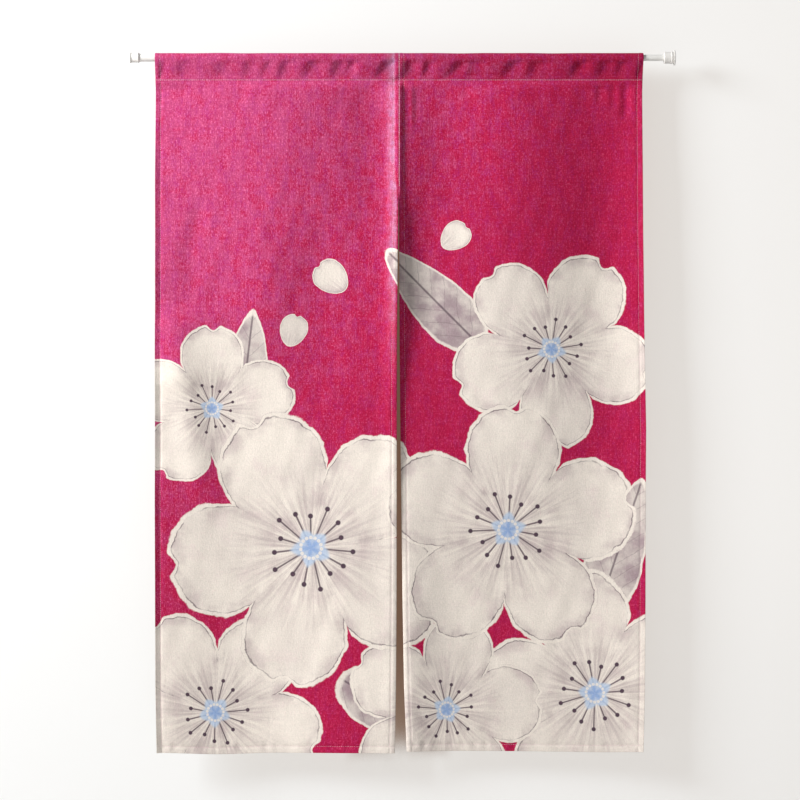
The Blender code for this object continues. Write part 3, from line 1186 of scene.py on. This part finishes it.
@dataclass(frozen=True)
class Streaks:
    """Yarns that run one way: noise stretched by its scales across and along, and cut to a mask."""

    across: float
    along: float
    low: float
    high: float
    scale: float = 1.0
    detail: float = 2.0
    rough: float = 0.5

    def mask(self, s: Sketch, x: Socket, z: Socket) -> Socket:
        """The mask on flat coordinates in thread pitches."""
        place = s.join(s.times(x, self.across), s.times(z, self.along))
        return s.step(s.noise(place, self.scale, self.detail, self.rough), self.low, self.high)


@dataclass(frozen=True)
class Linen:
    """The printed cloth: a plain weave of slubby linen and cotton yarn."""

    red: Colour = (0.470, 0.008, 0.062)
    pink: Colour = (0.492, 0.058, 0.178)
    purple: Colour = (0.340, 0.018, 0.180)
    deep: Colour = (0.390, 0.006, 0.052)
    cream: Colour = (0.800, 0.735, 0.665)
    mauve: Colour = (0.340, 0.260, 0.280)
    grey: Colour = (0.620, 0.560, 0.520)
    blush: Colour = (0.690, 0.560, 0.560)
    blue: Colour = (0.190, 0.340, 0.640)
    pale_blue: Colour = (0.450, 0.560, 0.720)
    plum: Colour = (0.080, 0.052, 0.072)
    raw: Colour = (0.640, 0.560, 0.480)
    fibre: Colour = (0.840, 0.270, 0.460)
    # Pale bluish colour of the painted highlight on the ridge beside the seam.
    wear_and_highlight: Colour = (0.460, 0.430, 0.640)
    pitch: float = 1.15 * MM
    bump: float = 0.35 * MM
    sheen: float = 0.03
    specular: float = 0.10
    stamens: float = 15.0
    warp: Streaks = Streaks(1.0, 0.26, 0.34, 0.66, 0.80, 2.0, 0.7)
    weft: Streaks = Streaks(0.30, 1.0, 0.34, 0.66, 0.80, 2.0, 0.7)
    long_streak: Streaks = Streaks(0.45, 0.02, 0.30, 0.70)
    long_bar: Streaks = Streaks(0.02, 0.45, 0.30, 0.70)
    thick_warp: Streaks = Streaks(0.7, 0.06, 0.68, 0.80, 1.0, 0.0)
    thick_weft: Streaks = Streaks(0.06, 0.7, 0.70, 0.82, 1.0, 0.0)

    def weave_group(self) -> bpy.types.NodeTree:
        """The weave's yarns on flat coordinates.

        Returns:
            A group that puts out their height, and masks of light warp, light weft and slubs.
        """
        tree, given, put = group("linen weave", {"Flat": "Vector", "Pitch": "Float"}, {
            "Height": "Float", "Warp": "Float", "Weft": "Float", "Slub": "Float",
        })
        s = Sketch(tree)
        x, z, _ = s.split(s.vector("DIVIDE", given["Flat"], s.join(given["Pitch"], given["Pitch"], 1.0)))
        warp, weft = self.warp.mask(s, x, z), self.weft.mask(s, x, z)
        slub = s.math("MAXIMUM", self.thick_warp.mask(s, x, z), self.thick_weft.mask(s, x, z))
        over = s.times(s.math("SINE", s.times(x, math.pi)), s.math("SINE", s.times(z, math.pi)))
        yarns = s.add(s.times(warp, 0.6), s.times(weft, 0.6))
        put("Height", s.add(s.times(over, 0.25), yarns, s.times(slub, 0.4)))
        put("Warp", s.add(s.times(warp, 0.72), s.times(self.long_streak.mask(s, x, z), 0.28)))
        put("Weft", s.add(s.times(weft, 0.78), s.times(self.long_bar.mask(s, x, z), 0.22)))
        put("Slub", slub)
        return tree

    def yarn_tone(self, s: Sketch, warp: Socket, weft: Socket) -> Socket:
        """How light the yarns are at a place, about 0."""
        return s.add(s.times(warp, 0.58), s.times(weft, 0.42), -0.5)

    def fleck(self, s: Sketch, yarn: Socket) -> Socket:
        """Where the lightest yarns show as pale flecks."""
        return s.step(yarn, 0.02, 0.42)

    def motif_group(self, design: PrintDesign) -> bpy.types.NodeTree:
        """Lays one motif over those before it.

        Args:
            design: The sizes that its petals share.

        Returns:
            A group that takes a flat point, the motif's place, size, turn and kind, and what was
            laid so far, and puts out the place within the topmost motif, its edge and its cover.
        """
        tree, given, put = group("print motif", {
            "Flat": "Vector", "Centre": "Vector", "Size": "Float", "Turn": "Float", "Kind": "Float",
            "Wobble": "Float", "Within": "Vector", "Edge": "Float", "Cover": "Float",
        }, {"Within": "Vector", "Edge": "Float", "Cover": "Float"})
        s = Sketch(tree)
        size = s.join(given["Size"], given["Size"], 1.0)
        away = s.vector("DIVIDE", s.vector("SUBTRACT", given["Flat"], given["Centre"]), size)
        turn = {"Vector": away, "Angle": given["Turn"]}
        x, y, _ = s.split(s.node("ShaderNodeVectorRotate", {"rotation_type": "Z_AXIS"}, turn).outputs[0])
        whole = s.math("MAXIMUM", given["Kind"], 0.0)
        leaf = s.math("MAXIMUM", s.times(given["Kind"], -1.0), 0.0)
        angle = s.math("ARCTAN2", y, x)
        far = s.vector("LENGTH", s.join(x, y))
        part = math.tau / design.petals
        number = s.times(s.math("ROUND", s.math("DIVIDE", angle, part)), whole)
        folded = s.math("SUBTRACT", angle, s.times(number, part))
        along = s.times(far, s.math("COSINE", folded))
        across = s.times(far, s.math("SINE", folded))
        wave = s.math("SINE", s.add(s.times(number, 2.3), s.times(given["Turn"], 7.0)))
        uneven = s.add(1.0, s.times(wave, 0.055))
        past = s.math("DIVIDE", s.add(along, -design.reach), s.times(uneven, design.long))
        plump = s.add(design.wide, s.times(leaf, design.leaf_wide - design.wide))
        taper = s.add(1.0, s.times(past, s.add(0.20, s.times(leaf, -0.65))))
        wide = s.times(plump, uneven, taper)
        off = s.math("DIVIDE", across, wide)
        edge = s.vector("LENGTH", s.join(past, off))
        notch = s.times(s.step(s.math("ABSOLUTE", across), 0.10, 0.0), s.step(along, 0.80, 1.02), 0.16)
        edge = s.add(edge, s.times(notch, s.add(1.0, s.times(leaf, -1.0))), given["Wobble"])
        heart = s.add(s.math("DIVIDE", far, 0.40), s.times(s.add(1.0, s.times(whole, -1.0)), 9.0))
        edge = s.math("MINIMUM", edge, heart)
        cover = s.step(edge, 1.012, 0.988)
        put("Within", s.blend(Mixed.VECTOR, cover, given["Within"], s.join(along, across, given["Kind"])))
        put("Edge", s.blend(Mixed.FLOAT, cover, given["Edge"], edge))
        put("Cover", s.math("MAXIMUM", given["Cover"], cover))
        return tree

    def paint_group(self) -> bpy.types.NodeTree:
        """The painted look of whatever motif is topmost.

        Returns:
            A group that puts out its colour, with washes, brush streaks, rims, veins and stamens.
        """
        inputs = {"Flat": "Vector", "Within": "Vector", "Edge": "Float"}
        tree, given, put = group("petal paint", inputs, {"Colour": "Color"})
        s = Sketch(tree)
        along, across, kind = s.split(given["Within"])
        leaf = s.math("MAXIMUM", s.times(kind, -1.0), 0.0)
        whole = s.math("MAXIMUM", kind, 0.0)
        far = s.vector("LENGTH", s.join(along, across))
        angle = s.math("ARCTAN2", across, along)
        blot = s.noise(given["Flat"], 22.0, 3.0, 0.6)
        streak = s.noise(s.join(s.times(angle, 11.0), s.times(far, 1.8), kind), 1.0, 4.0, 0.68)
        fine = s.noise(s.join(s.times(angle, 46.0), s.times(far, 4.5), kind), 1.0, 2.0, 0.6)
        cloud = s.noise(given["Flat"], 8.0, 2.0)
        colour = s.mix(s.times(s.step(cloud, 0.42, 0.66), 0.36), self.cream, self.grey)
        colour = s.mix(s.times(s.step(blot, 0.52, 0.70), 0.30), colour, self.blush)
        wash = s.times(s.step(far, 0.78, 0.16), s.step(s.add(streak, s.times(blot, 0.35)), 0.50, 0.86))
        colour = s.mix(s.times(wash, 0.60), colour, self.mauve)
        hairs = s.times(s.step(fine, 0.55, 0.72), s.step(far, 0.95, 0.30), s.step(cloud, 0.30, 0.60))
        colour = s.mix(s.times(hairs, 0.30), colour, self.mauve)
        rim = s.times(s.step(given["Edge"], 0.66, 0.93), s.step(blot, 0.38, 0.62), 0.42)
        colour = s.mix(rim, colour, self.mauve)
        colour = s.mix(s.times(s.step(given["Edge"], 0.925, 0.945), 0.85), colour, self.cream)
        line = s.step(s.math("ABSOLUTE", s.add(given["Edge"], -0.932)), 0.014, 0.004)
        colour = s.mix(s.times(line, s.step(blot, 0.30, 0.62), 0.75), colour, self.plum)
        rib = s.step(s.math("ABSOLUTE", across), 0.010, 0.003)
        slant = s.add(s.times(along, 26.0), s.times(s.math("ABSOLUTE", across), -30.0), s.times(blot, 2.0))
        veins = s.times(s.step(s.math("ABSOLUTE", s.math("SINE", slant)), 0.14, 0.03), 0.45)
        patchy = s.add(s.times(blot, 0.6), s.times(cloud, 0.5))
        tone = s.mix(s.step(patchy, 0.42, 0.66), self.mauve, self.grey)
        tone = s.mix(s.times(s.math("MAXIMUM", rib, veins), 0.70), tone, self.plum)
        tone = s.mix(s.times(s.step(given["Edge"], 0.90, 0.95), 0.8), tone, self.cream)
        colour = s.mix(leaf, colour, tone)
        part = math.tau / self.stamens
        spoke = s.math("ROUND", s.math("DIVIDE", angle, part))
        aside = s.math("ABSOLUTE", s.times(s.math("SUBTRACT", angle, s.times(spoke, part)), far))
        reach = s.add(0.265, s.times(s.math("SINE", s.times(spoke, 4.1)), 0.045))
        within = s.times(s.step(far, 0.05, 0.07), s.math("LESS_THAN", far, reach))
        hair = s.times(s.step(aside, 0.0085, 0.0035), within)
        colour = s.mix(s.times(hair, whole, 0.85), colour, self.plum)
        star = s.add(far, s.times(s.math("ABSOLUTE", angle), 0.085), s.times(blot, 0.05))
        bowl = s.mix(s.step(star, 0.06, 0.15), self.blue, self.pale_blue)
        colour = s.mix(s.times(s.step(star, 0.185, 0.150), whole, 0.85), colour, bowl)
        bead = s.vector("LENGTH", s.join(s.add(far, -0.075), aside))
        colour = s.mix(s.times(s.step(bead, 0.016, 0.010), whole, 0.80), colour, self.cream)
        tip = s.vector("LENGTH", s.join(s.math("SUBTRACT", far, reach), aside))
        colour = s.mix(s.times(s.step(tip, 0.022, 0.014), whole), colour, self.plum)
        put("Colour", colour)
        return tree

    def ground_group(self) -> bpy.types.NodeTree:
        """The ground's cross-dyed colour, with painted sheen and a painted highlight.

        Returns:
            A group that puts out a colour of red, pink and purple yarns, pinker and more flecked at the
            upper left as painted sheen where the light is strongest, deeper lower down, and paler on the
            ridge beside the seam as a painted highlight.
        """
        inputs = {"Flat": "Vector", "Warp": "Float", "Weft": "Float"}
        tree, given, put = group("cross dyed ground and painted sheen", inputs, {"Colour": "Color"})
        s = Sketch(tree)
        x, drop, _ = s.split(given["Flat"])
        patch = s.step(s.noise(given["Flat"], 42.0, 4.0, 0.72), 0.36, 0.64)
        banded = s.vector("MULTIPLY", given["Flat"], (90.0, 38.0, 1.0))
        bands = s.step(s.noise(banded, 1.0, 3.0, 0.6), 0.36, 0.64)
        # Painted sheen: towards the upper left, where the light is strongest, the ground is painted pinker
        # and with more pale flecks.
        upper = s.step(s.add(x, s.times(drop, 0.55)), 0.50, -0.32)
        low = s.times(s.step(s.add(drop, s.times(x, 1.2)), 0.10, 0.75), 0.9)
        low = s.math("MAXIMUM", low, s.step(drop, 0.45, 1.00))
        pinker = s.add(s.times(patch, 0.44), s.times(given["Warp"], 0.50), s.times(upper, 0.62), -0.42)
        colour = s.mix(s.step(pinker, 0.0, 0.85), self.red, self.pink)
        purpler = s.add(s.times(bands, 0.38), s.times(given["Weft"], 0.60), s.times(upper, -0.04))
        colour = s.mix(s.times(s.step(purpler, 0.40, 0.92), 0.66), colour, self.purple)
        colour = s.mix(s.times(low, 0.62), colour, self.deep)
        fleck = self.fleck(s, self.yarn_tone(s, given["Warp"], given["Weft"]))
        colour = s.mix(s.times(fleck, s.add(0.09, s.times(upper, 0.25))), colour, self.fibre)
        # Painted highlight: the ground is painted paler and bluish on the ridge left of the seam, where the
        # light catches it.
        aside = s.add(x, s.times(s.step(drop, 0.18, 0.25), -0.0035))
        ridge = s.times(s.step(aside, -0.036, -0.0115), s.step(aside, -0.0070, -0.0105))
        ridge = s.times(ridge, s.step(drop, 0.62, 0.36))
        painted_highlight = s.times(ridge, ridge, s.add(0.19, s.times(patch, 0.18)))
        put("Colour", s.mix(painted_highlight, colour, self.wear_and_highlight))
        return tree

    def print_group(self, design: PrintDesign) -> bpy.types.NodeTree:
        """The whole print on flat coordinates.

        Args:
            design: The motifs, from back to front.

        Returns:
            A group that puts out the printed colour and where the motifs cover the ground.
        """
        inputs = {"Flat": "Vector", "Warp": "Float", "Weft": "Float"}
        tree, given, put = group("noren print", inputs, {"Colour": "Color", "Cover": "Float"})
        s = Sketch(tree)
        flat = given["Flat"]
        fine = s.noise(flat, 120.0, 3.0, 0.6)
        broad = s.noise(flat, 28.0, 2.0)
        wobble = s.add(s.times(s.add(fine, -0.5), 0.055), s.times(s.add(broad, -0.5), 0.14))
        motif = self.motif_group(design)
        within: Value = (0.5, 0.0, 0.0)
        edge: Value = 1.0
        cover: Value = 0.0
        for item in design.motifs:
            node = placed(s, motif, {
                "Flat": flat, "Centre": (item.x, item.drop, 0.0), "Size": item.size, "Turn": item.turn,
                "Kind": item.kind.value, "Wobble": wobble, "Within": within, "Edge": edge, "Cover": cover,
            })
            within, edge, cover = (node.outputs[name] for name in ("Within", "Edge", "Cover"))
        ground = placed(s, self.ground_group(), given)
        paint = placed(s, self.paint_group(), {"Flat": flat, "Within": within, "Edge": edge})
        put("Colour", s.mix(cover, ground.outputs[0], paint.outputs[0]))
        put("Cover", cover)
        return tree

    def materials(
        self, design: PrintDesign, shape: ClothShape,
    ) -> tuple[bpy.types.Material, bpy.types.Material]:
        """The cloth's printed face and its back, where the print strikes through paler.

        Args:
            design: The print.
            shape: The form of the cloth, for the drops of its hem and its stitches.

        Returns:
            The face's material and the back's.
        """
        weave, printed = self.weave_group(), self.print_group(design)
        face = self.material("linen_face", 0.0, 0.86, weave, printed, shape)
        return face, self.material("linen_back", 0.62, 0.90, weave, printed, shape)

    def material(
        self, name: str, strike: float, rough: float, weave: bpy.types.NodeTree, printed: bpy.types.NodeTree,
        shape: ClothShape,
    ) -> bpy.types.Material:
        """One side of the cloth, on the flat coordinates of its UV map.

        Args:
            name: The material's name.
            strike: How much of the undyed yarn shows over the print.
            rough: The yarn's roughness.
            weave: The weave's group.
            printed: The print's group.
            shape: The form of the cloth.

        Returns:
            The material.
        """
        material, s, shader = shaded(name)
        uv = s.node("ShaderNodeUVMap", {"uv_map": "flat"}).outputs[0]
        x, z, _ = s.split(uv)
        yarns = placed(s, weave, {"Flat": uv, "Pitch": self.pitch}).outputs
        drop = s.math("SUBTRACT", shape.hem_drop, z)
        given = {"Flat": s.join(x, drop), "Warp": yarns["Warp"], "Weft": yarns["Weft"]}
        look = placed(s, printed, given).outputs
        colour = s.mix(strike, look["Colour"], self.raw)
        yarn = self.yarn_tone(s, yarns["Warp"], yarns["Weft"])
        bare = s.add(1.0, s.times(look["Cover"], -0.80))
        shade = s.add(1.0, s.times(yarn, s.add(0.12, s.times(bare, 0.50))))
        # Painted shade: the pocket's two layers are darkened in the base colour, by 4 percent at the left to
        # 19 percent at the right.
        double = s.step(drop, shape.stitch_drop + 1.1 * MM, shape.stitch_drop - 0.9 * MM)
        painted_pocket_shade = s.times(double, s.add(-0.04, s.times(s.step(x, -0.25, 0.15), -0.15)))
        shade = s.times(shade, s.add(1.0, painted_pocket_shade))
        scaled = {0: colour, "Scale": shade}
        tone = s.node("ShaderNodeVectorMath", {"operation": "SCALE"}, scaled).outputs[0]
        paler = s.add(s.times(self.fleck(s, yarn), 0.03), s.times(yarns["Slub"], 0.05))
        s.feed(shader.inputs["Base Color"], s.mix(paler, tone, self.fibre))
        s.feed(shader.inputs["Roughness"], s.add(rough, s.times(yarns["Slub"], 0.06)))
        shader.inputs["Specular IOR Level"].default_value = self.specular
        shader.inputs["Sheen Weight"].default_value = self.sheen
        shader.inputs["Sheen Roughness"].default_value = 0.5
        s.feed(shader.inputs["Normal"], s.raised(0.55, self.bump, yarns["Height"]))
        return material


def shaded(name: str) -> tuple[bpy.types.Material, Sketch, bpy.types.Node]:
    """A new material.

    Args:
        name: Its name.

    Returns:
        The material, its sketch and its Principled shader.
    """
    material = bpy.data.materials.new(name)
    material.use_nodes = True
    return material, Sketch(material.node_tree), material.node_tree.nodes["Principled BSDF"]


@dataclass(frozen=True)
class Smooth:
    """A smooth hard finish with slight wear and dust: paint, moulded plastic or rubber."""

    name: str
    colour: Colour
    wear_and_highlight: Colour
    rough: float
    specular: float
    coat: float
    grain: float
    grain_depth: float

    def material(self) -> bpy.types.Material:
        """The finish as a material on Object coordinates.

        Returns:
            The material.
        """
        material, s, shader = shaded(self.name)
        place = s.node("ShaderNodeTexCoord").outputs["Object"]
        patch = s.noise(place, 45.0, 3.0)
        grain = s.noise(place, self.grain, 2.0)
        colour = s.mix(s.times(s.step(patch, 0.45, 0.75), 0.6), self.colour, self.wear_and_highlight)
        s.feed(shader.inputs["Base Color"], colour)
        s.feed(shader.inputs["Roughness"], s.add(self.rough, s.times(patch, 0.12)))
        shader.inputs["Specular IOR Level"].default_value = self.specular
        shader.inputs["Coat Weight"].default_value = self.coat
        s.feed(shader.inputs["Normal"], s.raised(0.4, self.grain_depth, grain))
        return material


@dataclass(frozen=True)
class Thread:
    """The pale sewing thread, with a faint twist."""

    colour: Colour = (0.86, 0.68, 0.74)
    shadow: Colour = (0.70, 0.42, 0.52)

    def material(self) -> bpy.types.Material:
        """The thread as a material on Object coordinates.

        Returns:
            The material.
        """
        material, s, shader = shaded("sewing_thread")
        place = s.node("ShaderNodeTexCoord").outputs["Object"]
        twist = s.noise(place, 900.0, 1.0)
        s.feed(shader.inputs["Base Color"], s.mix(s.step(twist, 0.35, 0.65), self.shadow, self.colour))
        shader.inputs["Roughness"].default_value = 0.7
        return material


@dataclass
class Studio:
    """The pale wall and floor, the soft light from the left, and the camera."""

    wall_y: float = 0.042
    floor_z: float = -1.75
    camera_far: float = 3.8
    key_place: tuple = (-2.70, -1.42, 1.00)
    key_size: tuple = (1.2, 1.2)
    key_power: float = 190.0
    key_colour: Colour = (1.0, 0.985, 0.965)
    key_aim: tuple = (0.0, 0.0, -0.55)
    sky: float = 0.29
    wall_share: float = 0.34
    wall_glow: float = 0.72
    near: float = 0.12
    shaded_tint: Colour = (1.0, 0.930, 0.865)
    lit_tint: Colour = (1.0, 1.13, 1.25)
    # Painted shadow: the browns that the wall takes where the curtain shuts it in, behind the slit, lighter
    # lower down.
    behind: Colour = (0.165, 0.092, 0.060)
    behind_low: Colour = (0.235, 0.155, 0.112)
    hidden: Colour = (0.150, 0.100, 0.070)

    def surface(self, name: str, colour: Colour) -> tuple[bpy.types.Material, Sketch, bpy.types.Node]:
        """A matt stage surface.

        Args:
            name: The material's name.
            colour: Its colour.

        Returns:
            The material, its sketch and its Principled shader.
        """
        material, s, shader = shaded(name)
        shader.inputs["Base Color"].default_value = (*colour, 1.0)
        shader.inputs["Roughness"].default_value = 0.95
        shader.inputs["Specular IOR Level"].default_value = 0.1
        return material, s, shader

    def wall_surface(self, name: str, colour: Colour) -> bpy.types.Material:
        """The wall's matt surface with a glow, a painted shadow behind the slit and painted shade towards the
        bottom, clear from behind and to bounced light.

        Args:
            name: The material's name.
            colour: Its colour.

        Returns:
            The material.
        """
        material, s, shader = self.surface(name, colour)
        shader.inputs["Emission Strength"].default_value = self.wall_glow
        near = s.node("ShaderNodeAmbientOcclusion", None, {"Distance": self.near}).outputs["AO"]
        x, _, height = s.split(s.node("ShaderNodeTexCoord").outputs["Object"])
        above, below = s.step(height, -0.18, -0.08), s.step(height, -1.32, -1.50)
        aside = s.math("MAXIMUM", s.step(s.math("ABSOLUTE", x), 0.04, 0.10), above)
        free = s.math("MAXIMUM", s.step(near, 0.38, 0.82), s.math("MAXIMUM", aside, below))
        # Painted light: the wall glows in a warmer tint than its lit base colour, so that its shadows stay
        # light and warm.
        glow = tuple(tone * tint for tone, tint in zip(colour, self.shaded_tint))
        lit = tuple(self.wall_share * tone * tint for tone, tint in zip(colour, self.lit_tint))
        # Painted shade: the glow is up to 7 percent dimmer towards the bottom.
        fair = s.mix(s.times(s.step(height, -0.70, -1.35), 0.07), glow, (0.0, 0.0, 0.0))
        # Painted shadow: brown glow and base colour where the curtain shuts the wall in, behind the slit.
        slit = s.mix(s.step(height, -0.98, -1.16), self.behind, self.behind_low)
        s.feed(shader.inputs["Emission Color"], s.mix(free, slit, fair))
        s.feed(shader.inputs["Base Color"], s.mix(free, self.hidden, lit))
        back = s.node("ShaderNodeNewGeometry").outputs["Backfacing"]
        seen = s.node("ShaderNodeLightPath").outputs["Is Camera Ray"]
        hidden = s.math("MAXIMUM", back, s.math("SUBTRACT", 1.0, seen))
        clear = s.node("ShaderNodeBsdfTransparent").outputs[0]
        either = s.node("ShaderNodeMixShader", None, {0: hidden, 1: shader.outputs[0], 2: clear})
        s.feed(material.node_tree.nodes["Material Output"].inputs["Surface"], either.outputs[0])
        return material

    def plane(self, name: str, size: float, place: Matrix, material: bpy.types.Material) -> None:
        """A flat stage piece.

        Args:
            name: Its name.
            size: Half its width.
            place: Where it stands.
            material: Its surface.
        """
        bm = bmesh.new()
        bmesh.ops.create_grid(bm, x_segments=1, y_segments=1, size=size, matrix=place)
        made = finished(bm, name)
        made.data.materials.append(material)

    def build(self) -> None:
        """The stage, the lights and the camera."""
        upright = Euler((math.pi / 2.0, 0.0, 0.0)).to_matrix().to_4x4()
        wall = self.wall_surface("wall_white", (0.88, 0.875, 0.865))
        self.plane("wall", 2.6, Matrix.Translation((0.0, self.wall_y, -0.6)) @ upright, wall)
        floor, _, _ = self.surface("floor_pale", (0.80, 0.79, 0.77))
        self.plane("floor", 5.0, Matrix.Translation((0.0, -1.0, self.floor_z)), floor)
        self.key_light()
        world = bpy.data.worlds.new("soft_sky")
        world.use_nodes = True
        sky = world.node_tree.nodes["Background"]
        sky.inputs["Color"].default_value = (0.97, 0.985, 1.0, 1.0)
        sky.inputs["Strength"].default_value = self.sky
        bpy.context.scene.world = world
        bpy.context.scene.view_settings.view_transform = "Standard"
        self.camera()

    def key_light(self) -> None:
        """The soft light from the upper left, which faces the curtain's middle."""
        light = bpy.data.lights.new("key", "AREA")
        light.shape = "RECTANGLE"
        light.size, light.size_y = self.key_size
        light.energy = self.key_power
        light.color = self.key_colour
        made = bpy.data.objects.new("key", light)
        made.location = self.key_place
        aim = Vector(self.key_aim) - Vector(self.key_place)
        made.rotation_euler = aim.to_track_quat("-Z", "Y").to_euler()
        bpy.context.scene.collection.objects.link(made)

    def camera(self) -> None:
        """The photograph's view: straight at the curtain, from far enough to look flat."""
        data = bpy.data.cameras.new("photo_view")
        middle = PHOTO_PX / 2.0
        across = PHOTO_PX * METRES_PER_PX
        data.sensor_fit = "HORIZONTAL"
        data.angle = 2.0 * math.atan(across / 2.0 / self.camera_far)
        made = bpy.data.objects.new("photo_view", data)
        x, z = (middle - SEAM_PX) * METRES_PER_PX, (ROD_PX - middle) * METRES_PER_PX
        made.location = (x, -self.camera_far, z)
        made.rotation_euler = (math.pi / 2.0, 0.0, 0.0)
        bpy.context.scene.collection.objects.link(made)
        bpy.context.scene.camera = made


def dress_panels(linen: Linen, thread: bpy.types.Material) -> None:
    """Args:
        linen: The cloth's finish.
        thread: The material of the stitches.
    """
    shape, weave = ClothShape(), Weave()
    face, back = linen.materials(PrintDesign(), shape)
    rod_radius = float(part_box("outer_tube")[1][2])
    for side in Side:
        panel = ClothPanel(side, shape, weave, rod_radius)
        cloth = panel.build(face, back)
        sewing = Stitches(panel).build(thread)
        for piece in (cloth, sewing):
            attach(piece, "root")
        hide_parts(side.value)
        LOG.info("%s: %d points, %.3f m wide", cloth.name, len(cloth.data.vertices), panel.width)


def dress_rod() -> None:
    """Builds the rod's tubes, cups and feet in their finishes."""
    paint = Smooth(
        "white_paint", (0.80, 0.79, 0.77), (0.74, 0.73, 0.70),
        rough=0.30, specular=0.5, coat=0.3, grain=260.0, grain_depth=0.02 * MM,
    )
    plastic = Smooth(
        "white_plastic", (0.83, 0.81, 0.79), (0.78, 0.76, 0.73),
        rough=0.38, specular=0.5, coat=0.1, grain=700.0, grain_depth=0.03 * MM,
    )
    rubber = Smooth(
        "pale_rubber", (0.70, 0.69, 0.67), (0.62, 0.60, 0.57),
        rough=0.65, specular=0.3, coat=0.0, grain=900.0, grain_depth=0.05 * MM,
    )
    rod = Rod()
    pieces = rod.tubes(paint.material())
    moulded, soft = plastic.material(), rubber.material()
    pieces.append(rod.cup("left_cap", -1.0, 1.0 * MM, 0.80, moulded))
    pieces.append(rod.cup("right_cap", 1.0, 0.8 * MM, 0.22, moulded))
    pieces.append(rod.foot("left_foot", -1.0, soft))
    pieces.append(rod.foot("right_foot", 1.0, soft))
    for piece in pieces:
        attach(piece, "root")
        LOG.info("%s: %d faces", piece.name, len(piece.data.polygons))


def main() -> None:
    """Builds the stage, the rod and the two cloth panels."""
    logging.basicConfig(level=logging.INFO, format="%(name)s: %(message)s")
    Studio().build()
    dress_rod()
    dress_panels(Linen(), Thread().material())


if __name__ == "__main__":
    main()
